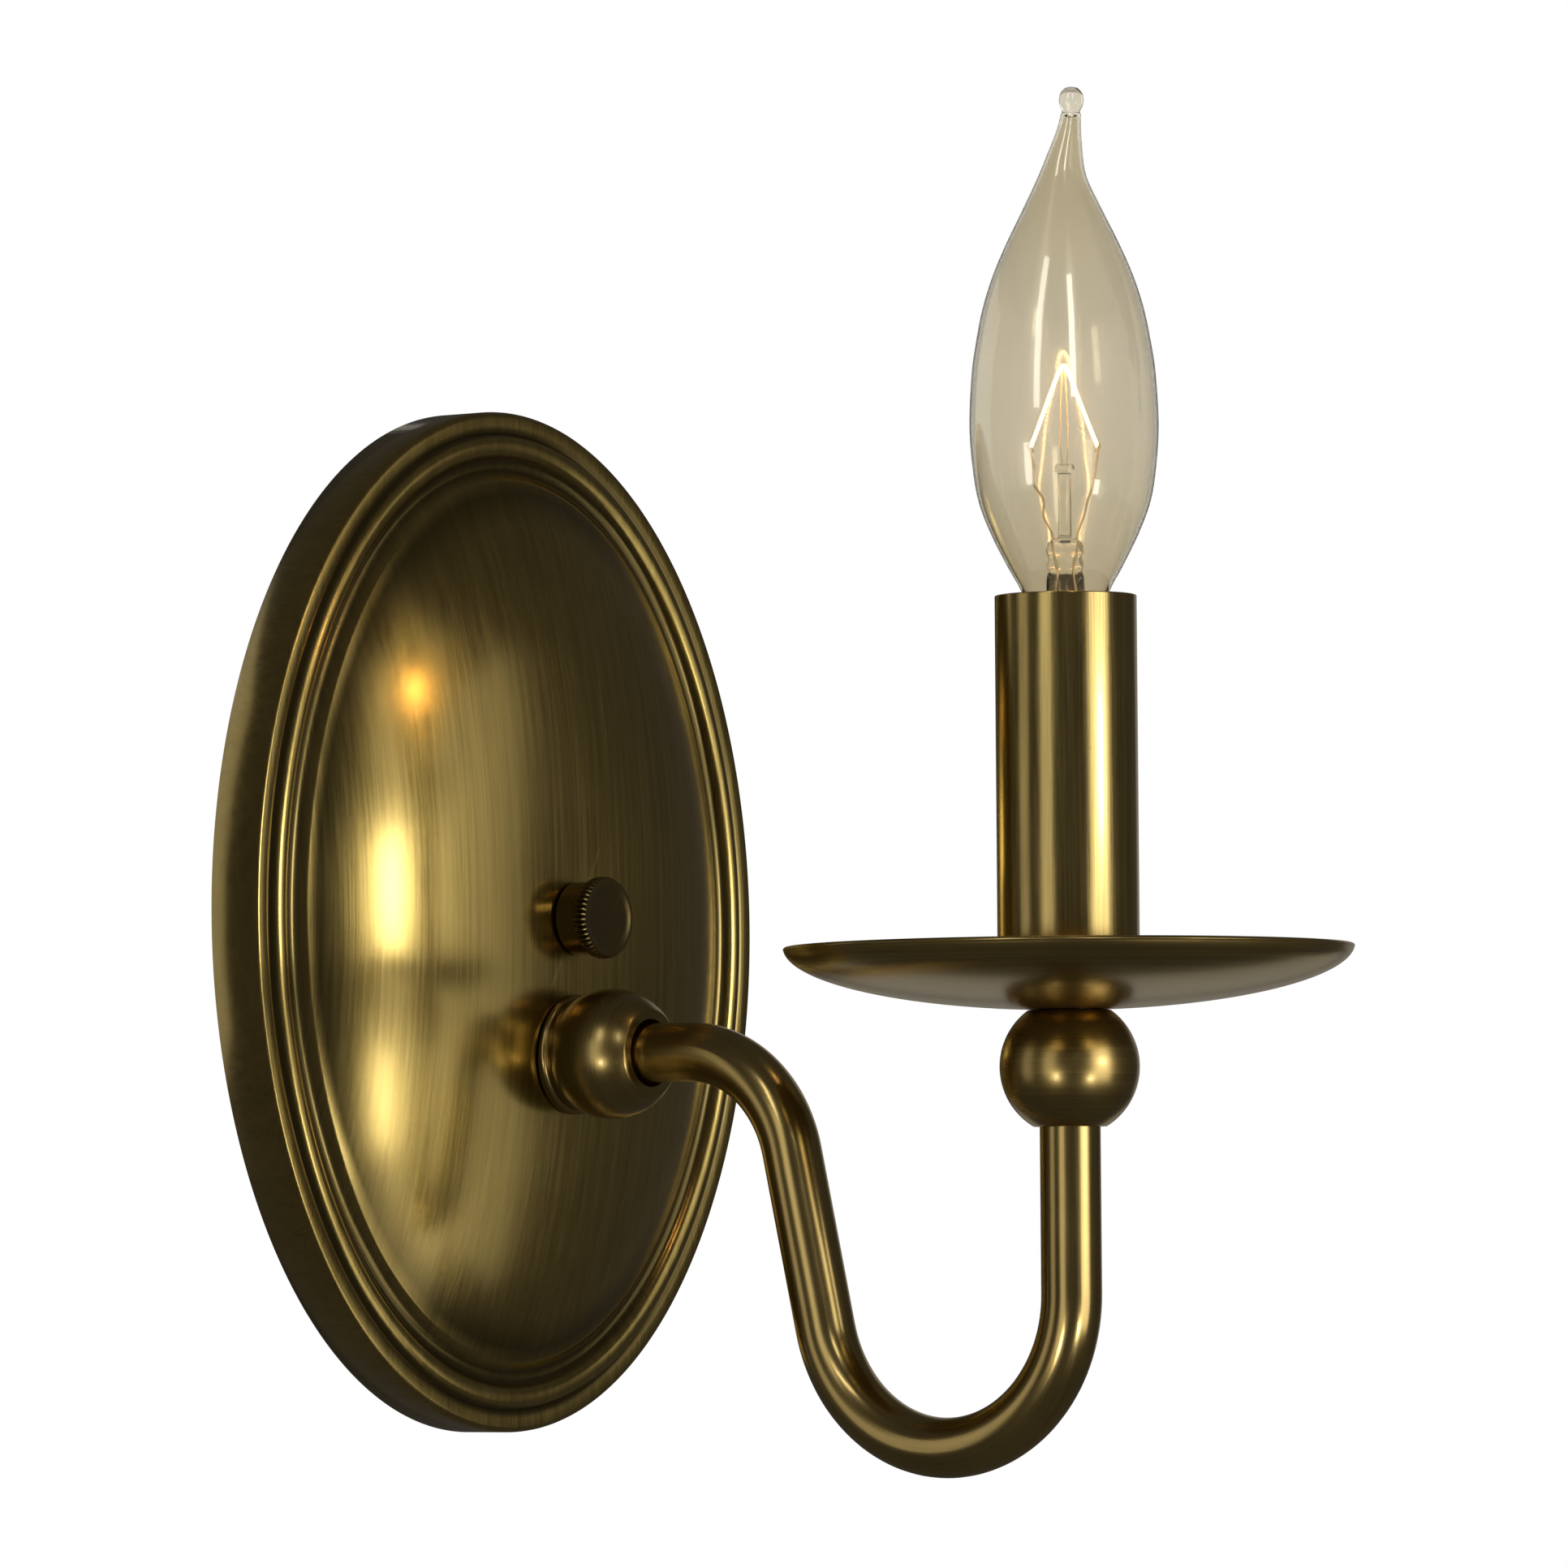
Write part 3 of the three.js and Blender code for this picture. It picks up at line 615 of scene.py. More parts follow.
nickel_wire = brushed_metal("nickel_wire", (0.70, 0.60, 0.42), (0.35, 0.28, 0.18), 0.25, 0.3)
tin_solder = brushed_metal("solder", (0.62, 0.63, 0.64), (0.38, 0.39, 0.40), 0.35, 0.1)
bakelite = moulded("phenolic", (0.022, 0.018, 0.016), (0.012, 0.010, 0.009), 0.5, 0.1)
black_cover = moulded("black_wire_cover", (0.02, 0.02, 0.021), (0.012, 0.012, 0.012), 0.42)
white_cover = moulded("white_wire_cover", (0.82, 0.80, 0.75), (0.68, 0.66, 0.60), 0.42)
orange_nylon = moulded("orange_nylon", (0.80, 0.25, 0.035), (0.62, 0.17, 0.02), 0.45, 0.15)
black_glass = moulded("vitrite", (0.015, 0.014, 0.022), (0.01, 0.01, 0.014), 0.16, 0.5)
bulb_clear = lamp_glass("bulb_glass_clear", (0.67, 0.615, 0.485), 0.05, 45)
stem_clear = lamp_glass("stem_glass_clear", (0.90, 0.88, 0.82), 0.35, 420)
hot_tungsten = glowing("glowing_tungsten", (1.0, 0.72, 0.36), (1.0, 0.50, 0.18), 130)

NODE_BODY = {node: body for body, nodes in frame["record"]["behaviour"]["bodies"].items() for node in nodes}


def coat(piece, material):
    piece.data.materials.clear()
    piece.data.materials.append(material)


def dress(piece, material, node, instead=True):
    """Gives a piece its material, and the body of the CAD node that it stands for or adds to."""
    coat(piece, material)
    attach(piece, NODE_BODY[node])
    if instead:
        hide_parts(node)


def keep(node, material, bevel):
    """A CAD node that stays, with a better material and edges that catch the light."""
    piece = frame["nodes"][node]
    coat(piece, material)
    rounding = piece.modifiers.new("edges", "BEVEL")
    rounding.width = bevel * MM
    rounding.segments = 2
    rounding.limit_method = "ANGLE"
    rounding.angle_limit = math.radians(35)


# ---- shared shapes ----

THREAD_RUN_OUT = 0.8
THREAD_CHAMFER = 0.5


def thread_wave(height, pitch, angle):
    """Goes from 1 to -1 and back once a pitch, along a helix."""
    return math.cos(2 * math.pi * (height / pitch - angle / (2 * math.pi)))


def threaded_rod(name, node, radius, low, high, pitch, depth, sides, place, bore=0.0):
    """A zinc-plated rod or pipe with a cut thread that runs out at both ends."""
    count = max(8, round((high - low) / pitch * 7))
    side = [(radius, low + (high - low) * i / count) for i in range(count + 1)]
    outline = [*side, (bore, high), (bore, low)] if bore else [(0, low), *side, (0, high)]

    def shape(r, h, angle):
        if r < radius - 1e-6:
            return r, h
        fade = hump(h, low, low + THREAD_RUN_OUT, high - THREAD_RUN_OUT, high)
        wave = 0.5 - 0.5 * thread_wave(h, pitch, angle)
        ends = max(1 - smoothstep(h, low, low + THREAD_CHAMFER), smoothstep(h, high - THREAD_CHAMFER, high))
        return r - depth * wave ** 0.8 * fade - 0.35 * ends, h

    dress(turned(name, outline, sides, place, shape, sharp=60), zinc, node)


def hex_nut(name, node, flats, bore, low, high, place):
    """A zinc-plated nut with its corners turned off."""
    rows = [low, low + 0.12, low + 0.3, low + 0.6, high - 0.6, high - 0.3, high - 0.12, high]
    outline = [(bore + 0.4, low), *[(flats / 2, h) for h in rows], (bore + 0.4, high), (bore, high - 0.4),
               (bore, low + 0.4)]

    def shape(r, h, angle):
        if r < flats * 0.45:
            return r, h
        turn = (angle + math.pi / 6) % (math.pi / 3) - math.pi / 6
        flat = flats / 2 / math.cos(turn)
        cone = flats / 2 * 0.985 + min(h - low, high - h) * 1.7
        return min(flat, cone), h

    dress(turned(name, outline, 96, place, shape, sharp=28), zinc, node)


# ---- backplate ----

DOME_POWER = 2.8  # how much flatter the crown is than the flanks


def dome_height(x, z, rise=0.0):
    """Distance from the wall of the dome's surface."""
    part = math.hypot(x / DOME_RADIUS, z / (DOME_RADIUS + OVAL_EXTRA))
    return DOME_HEIGHT + rise - (DOME_HEIGHT - DOME_EDGE_HEIGHT) * part ** DOME_POWER


def plate_outline():
    rim = PLATE_WIDE
    dome = [(DOME_RADIUS * (1 - i / 40), dome_height(DOME_RADIUS * (1 - i / 40), 0)) for i in range(41)]
    inner_dome = [(r, h - PLATE_SHEET) for r, h in reversed(dome[::2])]
    inside = [
        *inner_dome,
        *shifted([(-10.2, -1.6), (-8.2, -1.2)], rim, RIM_HEIGHT),
        *arc(rim - 6, RIM_HEIGHT - 1.4, 1.4, 145, 35, 6),
        *shifted([(-3.6, -1.2), (-PLATE_SHEET - 0.6, -1.0), (-PLATE_SHEET, -1.6)], rim, RIM_HEIGHT),
        *shifted([(0, 0.2), (0.2, 0)], rim - PLATE_SHEET, 0),
    ]
    corner = arc(rim - 1.2, RIM_HEIGHT - 1.2, 1.2, 0, 80, 6)
    ledge = shifted([(-2.4, -0.02), (-3.2, -0.1), (-3.7, -0.35)], rim, RIM_HEIGHT)
    bead = arc(rim - 6, RIM_HEIGHT - 1.4, 2.4, 38, 150, 14)
    cove = shifted([(-8.7, -0.62), (-9.5, -0.85), (-10.4, -0.7), (-11.3, -0.05), (-12.0, 0.78),
                    (-12.3, 1.03)], rim, RIM_HEIGHT)
    return [*inside, (rim - 0.2, 0), (rim, 0.2), *corner, *ledge, *bead, *cove, *dome]


def to_oval(x, y, height):
    """The rim keeps one width all round, and the dome inside it is scaled."""
    radius = math.hypot(x, y)
    on_rim = radius > DOME_RADIUS
    stretch = (radius + OVAL_EXTRA) / radius if on_rim else (DOME_RADIUS + OVAL_EXTRA) / DOME_RADIUS
    return (x, -height, y * stretch)


def from_rim(x, z):
    """How far inside the plate's outer edge a point is, by halving."""
    low, high = 0.0, PLATE_WIDE
    for _ in range(24):
        middle = (low + high) / 2
        if (x / max(middle, 1e-6)) ** 2 + (z / (middle + OVAL_EXTRA)) ** 2 > 1:
            low = middle
        else:
            high = middle
    return PLATE_WIDE - high


def plate_painted_shade(point):
    """Painted shade: dark in the groove beside the bead, in the cove and at the foot of the dome, and faintly
    at the outer edge.
    """
    inward = from_rim(point.x, point.z)
    groove = hump(inward, 2.7, 3.2, 4.2, 4.7)
    cove = hump(inward, 7.3, 8.3, 10.6, 11.8)
    foot = hump(inward, 12.0, 13.0, 13.0, 21.0)
    edge = 1 - smoothstep(inward, 0.4, 2.0)
    return max(0.7 * groove, 0.75 * cove, 0.7 * foot, 0.1 * edge)


def make_backplate():
    plate = turned("backplate_shell", plate_outline(), 288, to_oval, grain=vertical_grain, sharp=50)
    # Painted shade in the plate's groove, cove and dome foot, stored on its points.
    antique(plate, plate_painted_shade)
    cut(plate, drill(STUD_HOLE, 15, 30, outward(0)), drill(NIPPLE_HOLE, 15, 30, outward(HUB_Z)))
    dress(plate, plate_brass, "backplate")


# ---- knob ----

RIDGES = 47
RIDGE_DEPTH = 0.48
KNURL_LOW = KNOB_FACE - 2.25
KNURL_HIGH = KNOB_FACE - 0.25


def knurled(r, h, angle):
    """Straight ridges round the rim of the knob, chamfered towards its face."""
    on_rim = r > KNOB_RADIUS - 0.06 and KNURL_LOW - 0.01 <= h <= KNURL_HIGH + 0.01
    if not on_rim:
        return r, h
    part = (angle * RIDGES / (2 * math.pi)) % 1.0
    return r - RIDGE_DEPTH * max(0.0, 1 - abs(part - 0.5) / 0.36), h


def make_knob():
    body = KNOB_RADIUS - 0.7
    bottom = DOME_HEIGHT + 0.35
    bore = STUD_RADIUS + 0.4
    recess = 5.9
    outline = [
        (0, STUD_END + 0.7), (bore, STUD_END + 0.7),
        (bore, WASHER_FACE + GAP), (recess, WASHER_FACE + GAP),
        (recess, bottom), (body - 0.25, bottom), (body, bottom + 0.25),
        *shifted([(0, -0.55), (-0.3, -0.35), (-0.3, -0.12), (0.2, -0.05)], body, KNURL_LOW),
        *shifted([(-0.05, 0), (0, 0.3)], KNOB_RADIUS, KNURL_LOW),
        *shifted([(0, -0.65), (-0.05, -0.35)], KNOB_RADIUS, KNURL_HIGH),
        *shifted([(-0.42, -0.04), (-0.6, 0), (-1.1, -0.05)], KNOB_RADIUS, KNOB_FACE),
        *shifted([(-1.5, -0.28), (-2.6, -0.36)], KNOB_RADIUS, KNOB_FACE),
        (0, KNOB_FACE - 0.4),
    ]
    knob = turned("knurled_knob", outline, RIDGES * 10, outward(0), knurled, sharp=38)
    dress(knob, knob_brass, "knob")
    washer = ring(STUD_HOLE, 5.5, DOME_HEIGHT + GAP, WASHER_FACE, 0.12)
    dress(turned("knob_lock_washer", washer, 72, outward(0)), zinc, "knob_washer")


# ---- hub and arm ----


def make_hub():
    def reach(radius):
        return math.sqrt(HUB_RADIUS ** 2 - radius ** 2)

    face = HUB_CENTRE + reach(HUB_FACE_RADIUS)
    start = math.degrees(math.atan2(-reach(HUB_NECK), HUB_NECK))
    end = math.degrees(math.atan2(reach(HUB_FACE_RADIUS), HUB_FACE_RADIUS))
    outline = [
        (NIPPLE_HOLE, HUB_SEAT), (FOOT_RADIUS - 0.15, HUB_SEAT),
        (FOOT_RADIUS, HUB_SEAT + 0.01), (FOOT_RADIUS, FOOT_TOP - FOOT_ROUNDING),
        *arc(FOOT_RADIUS - FOOT_ROUNDING, FOOT_TOP - FOOT_ROUNDING, FOOT_ROUNDING, 10, 84, 8),
        *shifted([(0.25, 0.02), (0.05, 0.12)], HUB_NECK, FOOT_TOP),
        *arc(0, HUB_CENTRE, HUB_RADIUS, start + 1.5, end - 1.0, 48),
        *shifted([(-0.22, -0.02), (-0.5, -0.06)], HUB_FACE_RADIUS, face),
        *shifted([(0.5, -0.12), (0.35, -0.35)], PIPE_SEAT, face),
        *shifted([(0.35, 1.2), (0, 0.9), (0, -GAP)], PIPE_SEAT, ARM_START),
        (NIPPLE_HOLE, ARM_START - GAP),
    ]

    def on_dome(x, y, height):
        if height < HUB_SEAT + 0.1:
            height = dome_height(x, HUB_Z + y, GAP) + (height - HUB_SEAT) * 10
        return (x, -height, HUB_Z + y)

    hub = turned("turned_hub", outline, 160, on_dome, grain=turned_grain(outward(HUB_Z)), sharp=38)
    dress(hub, turned_brass, "hub")


def gooseneck(start_y, end_z, step=1.2):
    """Points down the middle of the arm: level, round the first bend, down a lean, round the second, up."""
    second_y = SECOND_BEND - REACH
    low_y = second_y + SECOND_BEND * math.cos(LEAN)
    low_z = SECOND_BEND_Z - SECOND_BEND * math.sin(LEAN)
    high_z = HUB_Z - FIRST_BEND + FIRST_BEND * math.sin(LEAN)
    straight = (high_z - low_z) / math.cos(LEAN)
    first_y = low_y + straight * math.sin(LEAN) + FIRST_BEND * math.cos(LEAN)
    points = [(0, start_y, HUB_Z)]

    def run(length, at):
        steps = max(2, round(length / step))
        points.extend((0, *at(length * i / steps)) for i in range(1, steps + 1))

    def first_bend(s):
        turn = s / FIRST_BEND
        return first_y - FIRST_BEND * math.sin(turn), HUB_Z - FIRST_BEND * (1 - math.cos(turn))

    def second_bend(s):
        turn = -LEAN - s / SECOND_BEND
        return second_y + SECOND_BEND * math.cos(turn), SECOND_BEND_Z + SECOND_BEND * math.sin(turn)

    def lean(s):
        return low_y + (straight - s) * math.sin(LEAN), low_z + (straight - s) * math.cos(LEAN)

    run(start_y - first_y, lambda s: (start_y - s, HUB_Z))
    run(FIRST_BEND * (math.pi / 2 - LEAN), first_bend)
    run(straight, lean)
    run(SECOND_BEND * (math.pi - LEAN), second_bend)
    run(end_z - SECOND_BEND_Z, lambda s: (-REACH, SECOND_BEND_Z + s))
    return points


def make_arm():
    arm = swept("gooseneck_arm", gooseneck(-ARM_START, BALL_STEP_Z - GAP), PIPE_RADIUS, 48, PIPE_BORE)
    dress(arm, arm_brass, "arm_tube")


# ---- candle ----


def make_ball():
    def angle_at(z):
        return math.degrees(math.asin((z - BALL_Z) / BALL_RADIUS))

    top = PAN_FLOOR_Z - 0.05
    round_side = arc(0, BALL_Z, BALL_RADIUS, angle_at(BALL_BOTTOM_Z) + 0.8, angle_at(top) - 0.8, 56)
    outline = [
        (PIPE_SEAT, BALL_BOTTOM_Z + 0.15), (PIPE_SEAT + 0.15, BALL_BOTTOM_Z),
        (round_side[0][0] - 0.2, BALL_BOTTOM_Z), *round_side, (round_side[-1][0] - 0.2, top),
        (NIPPLE_HOLE, top), (NIPPLE_HOLE, BALL_STEP_Z), (PIPE_SEAT, BALL_STEP_Z),
    ]
    dress(turned("turned_ball", outline, 160, sharp=38), turned_brass, "arm_ball")


def make_pan():
    steps = 56
    lip = PAN_SHEET / 2

    def curve(radius, depth):
        angles = [math.radians(90 * i / steps) for i in range(8, steps + 1)]
        points = [(radius * math.sin(a), PAN_RIM_Z - depth * math.cos(a)) for a in angles]
        return [p for p in points if p[1] < PAN_RIM_Z - lip * 1.1]

    outline = [
        (NIPPLE_HOLE, PAN_FLOOR_Z + 0.15),
        (NIPPLE_HOLE + 0.2, PAN_FLOOR_Z + 0.03),
        *curve(PAN_RADIUS, PAN_DEPTH),
        *arc(PAN_RADIUS - lip, PAN_RIM_Z - lip, lip, 0, 180, 8),
        *reversed(curve(PAN_RADIUS - PAN_SHEET, PAN_DEPTH - PAN_SHEET)),
        (NIPPLE_HOLE, PAN_FLOOR_Z + PAN_SHEET),
    ]
    dress(turned("spun_drip_pan", outline, 256, sharp=45), pan_brass, "drip_pan")


def make_sleeve():
    outline = ring(SLEEVE_RADIUS - SLEEVE_WALL, SLEEVE_RADIUS, SLEEVE_BOTTOM_Z, SLEEVE_TOP_Z)
    sleeve = turned("brushed_candle_sleeve", outline, 160, grain=vertical_grain, sharp=50)
    dress(sleeve, sleeve_brass, "candle_sleeve")


# ---- bulb ----

GLASS_OUTSIDE = [
    (NECK_RADIUS, 44.6), (6.0, 47), (7.4, 51.9), (9.6, 56), (12.3, 61.4), (14.4, 67), (15.4, 73), (15.85, 80),
    (15.4, 88.6), (14.6, 94.1), (13.5, 99.5), (11.8, 104.9), (9.45, 110.4), (6.75, 115.9), (4.1, 121.6),
    (2.75, 126.4), (2.0, 129.8), (1.7, 132.2),
]
GLASS_TIP = [(1.5, 132.4), (1.56, 132.8), (1.82, 133.3), (2.04, 134.0), (2.1, 134.7), (1.96, 135.5),
             (1.58, 136.15), (1.02, 136.58), (0.45, 136.77), (0, 136.8)]
NECK_HEIGHTS = (36, 38, 41, 44)
STEM_SIDE = [
    (0, 46), (3.3, 46), (3.3, 50), (3.2, 54), (2.95, 55.2), (3.25, 56.4), (3.0, 57.6), (3.3, 58.8),
    (2.9, 60.0), (2.2, 60.7), (1.3, 61.1), (1.15, 62.0), (1.1, 66), (1.1, 71.2), (1.25, 71.7), (1.7, 72.1),
    (1.72, 72.6), (1.6, 73.1), (1.0, 73.4), (0, 73.5),
]


def bent(x, y, height):
    """The flame tip turns to one side above the bulb's shoulder."""
    shift = FLAME_FLICK * smoothstep(height, 120, 134.5)
    return upright(x + shift * math.cos(FILAMENT_TURN), y + shift * math.sin(FILAMENT_TURN), height)


def make_bulb_glass():
    side = [tuple(p) for p in smooth_line(GLASS_OUTSIDE, 7)]
    neck = [(NECK_RADIUS, z) for z in NECK_HEIGHTS]
    inner_neck = [(NECK_RADIUS - GLASS_WALL, z) for z in reversed(NECK_HEIGHTS)]
    thin = [(r - GLASS_WALL, z) for r, z in side if z < 131.5]
    last_r, last_z = thin[-1]
    inside = [(0, last_z + 0.9), (last_r * 0.6, last_z + 0.7), (last_r * 0.9, last_z + 0.35), *reversed(thin)]
    outline = [*inside, *inner_neck, *neck, *side, *GLASS_TIP]
    dress(turned("flame_tip_glass", outline, 112, bent, sharp=60), bulb_clear, "bulb_glass")


def make_stem():
    """A glass foot, pinched flat over the lead wires, then a rod with a button on top."""

    def pinched(r, h, angle):
        if not 52 < h < 61 or r < 1.5:
            return r, h
        press = hump(h, 52, 55, 59.5, 61)
        across = abs(math.sin(angle - FILAMENT_TURN))
        return r * (1 - 0.42 * press * across ** 1.5), h

    line = [(max(0.0, r), h) for r, h in smooth_line(STEM_SIDE, 3)]
    stem = turned("glass_stem", [*line, STEM_SIDE[0]], 48, upright, pinched, sharp=60)
    dress(stem, stem_clear, "bulb_stem")


def in_filament_plane(x, z, out=0.0):
    """A point of the filament's upright plane, with out at right angles to it."""
    cos, sin = math.cos(FILAMENT_TURN), math.sin(FILAMENT_TURN)
    return upright(x * cos - out * sin, x * sin + out * cos, z)


def in_plane_line(profile, steps):
    return smooth_line([in_filament_plane(*p) for p in profile], steps)


def coiled(line, radius, turns, steps):
    """A helix of small turns along a line."""
    made = []
    count = turns * steps
    for i in range(count + 1):
        along = i / count * (len(line) - 1)
        k = min(int(along), len(line) - 2)
        point = line[k].lerp(line[k + 1], along - k)
        ahead = (line[k + 1] - line[k]).normalized()
        side = ahead.cross(Vector(in_filament_plane(0, 0, 1)) - Vector(in_filament_plane(0, 0, 0)))
        side.normalize()
        third = ahead.cross(side)
        angle = 2 * math.pi * i / steps
        made.append(point + (side * math.cos(angle) + third * math.sin(angle)) * radius)
    return made


def make_filament():
    foot = FILAMENT_FOOT
    profile = [
        *shifted([(-foot, 0), (-foot * 0.72, 4.1), (-foot * 0.42, 8.6)], 0, FILAMENT_FOOT_Z),
        *shifted([(-0.75, -1.4), (0, -0.45), (0.75, -1.4)], 0, FILAMENT_APEX_Z),
        *shifted([(foot * 0.42, 8.4), (foot * 0.74, 3.7), (foot, 0)], 0, FILAMENT_FOOT_Z),
    ]
    coil = swept("coiled_filament", coiled(in_plane_line(profile, 8), 0.24, 84, 12), 0.09, 6)
    dress(coil, hot_tungsten, "filament")


def make_leads():
    for side, name, node in ((-1, "lead_left", "lead_wire_left"), (1, "lead_right", "lead_wire_right")):
        ripple = 0.35 if side < 0 else 0.0
        profile = [
            (side * 1.1, 47.5, 0.3), (side * 1.25, 51.5, -0.2), (side * 1.2, 55.5, 0.1),
            (side * 1.7, 58.5, 0), (side * 2.1, 61.6, 0.1), (side * 3.2 - ripple, 64.6, 0.25),
            (side * 3.9 + ripple, 67.4, 0.1), (side * 4.9 - ripple, 70.2, -0.1),
            (side * 5.3 + ripple * 0.6, 73.0, 0.1), (side * FILAMENT_FOOT, 75.2, 0),
            (side * (FILAMENT_FOOT + 0.1), FILAMENT_FOOT_Z + 0.4, 0),
        ]
        dress(swept(name, in_plane_line(profile, 6), 0.2, 12), nickel_wire, node)
        hook = [(side * FILAMENT_FOOT + dx, FILAMENT_FOOT_Z + dz, 0.15)
                for dx, dz in ((-0.45 * side, -0.9), (0, -0.35), (0.35 * side, 0.15), (-0.1 * side, 0.55))]
        dress(swept(f"{name}_hook", in_plane_line(hook, 5), 0.26, 10), nickel_wire, node, instead=False)
    for lean, name in ((-0.55, "filament_support_wire"), (0.55, "filament_support_wire_2")):
        profile = [(lean * across, z, 0.35 * lean) for across, z in (
            (0.5, 72.8), (1.1, 76), (1.0, 82), (0.55, 87.5), (0.12, FILAMENT_APEX_Z - 1.05))]
        wire = swept(name, in_plane_line(profile, 6), 0.12, 10)
        dress(wire, nickel_wire, "filament_support", instead=lean < 0)


def make_bulb_base():
    crest = BASE_RADIUS
    thread_low, thread_high = BASE_BOTTOM_Z + 1.2, BASE_TOP_Z - 1.6
    rows = 48
    side = [(crest, thread_low + (thread_high - thread_low) * i / rows) for i in range(rows + 1)]
    outline = [
        (2.8, BASE_BOTTOM_Z), (4.7, BASE_BOTTOM_Z), (5.2, BASE_BOTTOM_Z + 0.4),
        (crest - 0.25, BASE_BOTTOM_Z + 0.9),
        *side,
        *shifted([(-0.05, -1.0), (-0.1, 0), (-0.4, 0)], crest, BASE_TOP_Z),
        (crest - 0.5, BASE_BOTTOM_Z + 1.4),
        (2.8, BASE_BOTTOM_Z + 0.5),
    ]

    def rolled(r, h, angle):
        if r < crest - 0.01 or not thread_low <= h <= thread_high:
            return r, h
        fade = hump(h, thread_low, thread_low + 1, thread_high - 1, thread_high)
        return r - 0.22 * (1 + thread_wave(h, BASE_PITCH, angle)) * fade, h

    dress(turned("screw_base", outline, 96, upright, rolled, sharp=45), bright_brass, "bulb_base")
    cone = softened(shifted([(2.5, -2.1), (3.4, -2.1), (5, -0.2), (2.5, -0.2)], 0, BASE_BOTTOM_Z), 0.2)
    dress(turned("glass_insulator", cone, 64), black_glass, "bulb_insulator")
    bead = shifted([(0, 0), (0.7, 0.04), (1.4, 0.3), (1.95, 0.75), (2.2, 1.3)], 0, tip_low[2])
    bead += [(2.2, tip_high[2]), (0, tip_high[2])]
    dress(turned("solder_contact", bead, 48), tin_solder, "bulb_contact_tip")


# ---- what the back shows: strap, stud, nuts and wiring ----

SLOT_NEAR = 33.0
SLOT_FAR = 46.0
SLOT_WIDTH = 4.8


def rounded_box(wide, tall, radius, steps=6):
    made = []
    for sx, sy, start in ((1, 1, 0), (-1, 1, 90), (-1, -1, 180), (1, -1, 270)):
        centre = (sx * (wide / 2 - radius), sy * (tall / 2 - radius))
        made += arc(*centre, radius, start, start + 90, steps)
    return made


def make_strap():
    wide = strap_high[0] - strap_low[0]
    tall = strap_high[2] - strap_low[2]
    sheet = -strap_low[1]
    slot = rounded_box(SLOT_WIDTH, SLOT_FAR - SLOT_NEAR, SLOT_WIDTH / 2, 10)
    middle = (SLOT_NEAR + SLOT_FAR) / 2
    outlines = [
        rounded_box(wide, tall, 2.0),
        shifted(slot, 0, middle),
        shifted(slot, 0, -middle),
        arc(0, 0, STUD_HOLE, 0, 345, 23),
        arc(0, GROUND_SCREW_Z, 2.2, 0, 345, 23),
    ]
    dress(flat_sheet("wall_strap", outlines, sheet, 0.2, outward(0)), zinc, "mounting_strap")
    nut_low = sheet + GAP
    hex_nut("strap_nut", "stud_nut", 8.7, STUD_HOLE, nut_low, nut_low + 3.2, outward(0))
    threaded_rod("threaded_stud", "strap_stud", STUD_RADIUS, 0.2, STUD_END, STUD_PITCH, 0.28, 40, outward(0))


def make_ground():
    back, front = -screw_high[1], -screw_low[1]
    top = front - 2.4
    outline = softened([(0, back), (1.9, back), (1.9, top), (4.2, top), (4.2, top + 0.6), (3.4, top + 0.65),
                        (3.2, front), (0, front)], 0.25)
    screw = turned("ground_screw_head", outline, 72, outward(GROUND_SCREW_Z))
    slot = bmesh.new()
    bmesh.ops.create_cube(slot, size=1.0)
    for v in slot.verts:
        v.co = Vector((v.co.x * 9, -front + v.co.y * 1.6, GROUND_SCREW_Z + v.co.z * 0.9))
    cut(screw, finish_mesh("slot", slot, vertical_grain))
    dress(screw, green_zinc, "ground_screw")
    route = smooth_line([(5.3, -3.4, GROUND_SCREW_Z), (10, -5, 8), (12.5, -9, -4), (12.5, -15, -15),
                         (9.6, -19.8, HUB_Z + 1)], 12)
    dress(swept("bare_ground_wire", route, 0.8, 16), bare_copper, "ground_wire")


def threaded_nipple(name, node, low, high, place):
    threaded_rod(name, node, NIPPLE_RADIUS, low, high, NIPPLE_PITCH, 0.3, 64, place, NIPPLE_BORE)


def make_hub_fixings():
    threaded_nipple("hub_threaded_nipple", "hub_nipple", 15.5, 37.2, outward(HUB_Z))
    washer = turned("hub_back_washer", ring(NIPPLE_HOLE, 8.2, 19.2, 20.4), 72, outward(HUB_Z))
    dress(washer, zinc, "hub_washer")
    hex_nut("hub_back_locknut", "hub_locknut", 14, NIPPLE_HOLE, 16, 18.9, outward(HUB_Z))


def make_candle_fixings():
    threaded_nipple("candle_threaded_nipple", "candle_nipple", BALL_STEP_Z + GAP, -8.5, upright)
    washer = turned("pan_spacer_washer", ring(NIPPLE_HOLE, 8.6, -16.5, -15.6), 72)
    dress(washer, zinc, "pan_washer")
    hex_nut("pan_top_locknut", "pan_locknut", 13, NIPPLE_HOLE, -15.3, -12.3, upright)


def make_socket():
    bore = 6.75
    wall = 9
    hole = 1.6
    bottom, floor, mouth = 20, 26.5, 45.5
    cup = softened([(hole, bottom), (wall, bottom), (wall, mouth), (bore + 0.7, mouth), (bore, mouth - 1),
                    (bore, floor), (hole, floor)], 0.35)
    body = turned("phenolic_socket", cup, 96)
    cut(body, drill(1.3, 7.3, 12, lambda x, y, h: (h, y - REACH, 29 + x), 32))
    dress(body, bakelite, "socket_body")
    keep("socket_bracket", zinc_cad, 0.15)
    for node, bevel in (("bracket_rivet", 0.08), ("socket_shell", 0.05), ("socket_contact", 0.08),
                        ("terminal_hot", 0.08), ("terminal_neutral", 0.1)):
        keep(node, brass_cad, bevel)


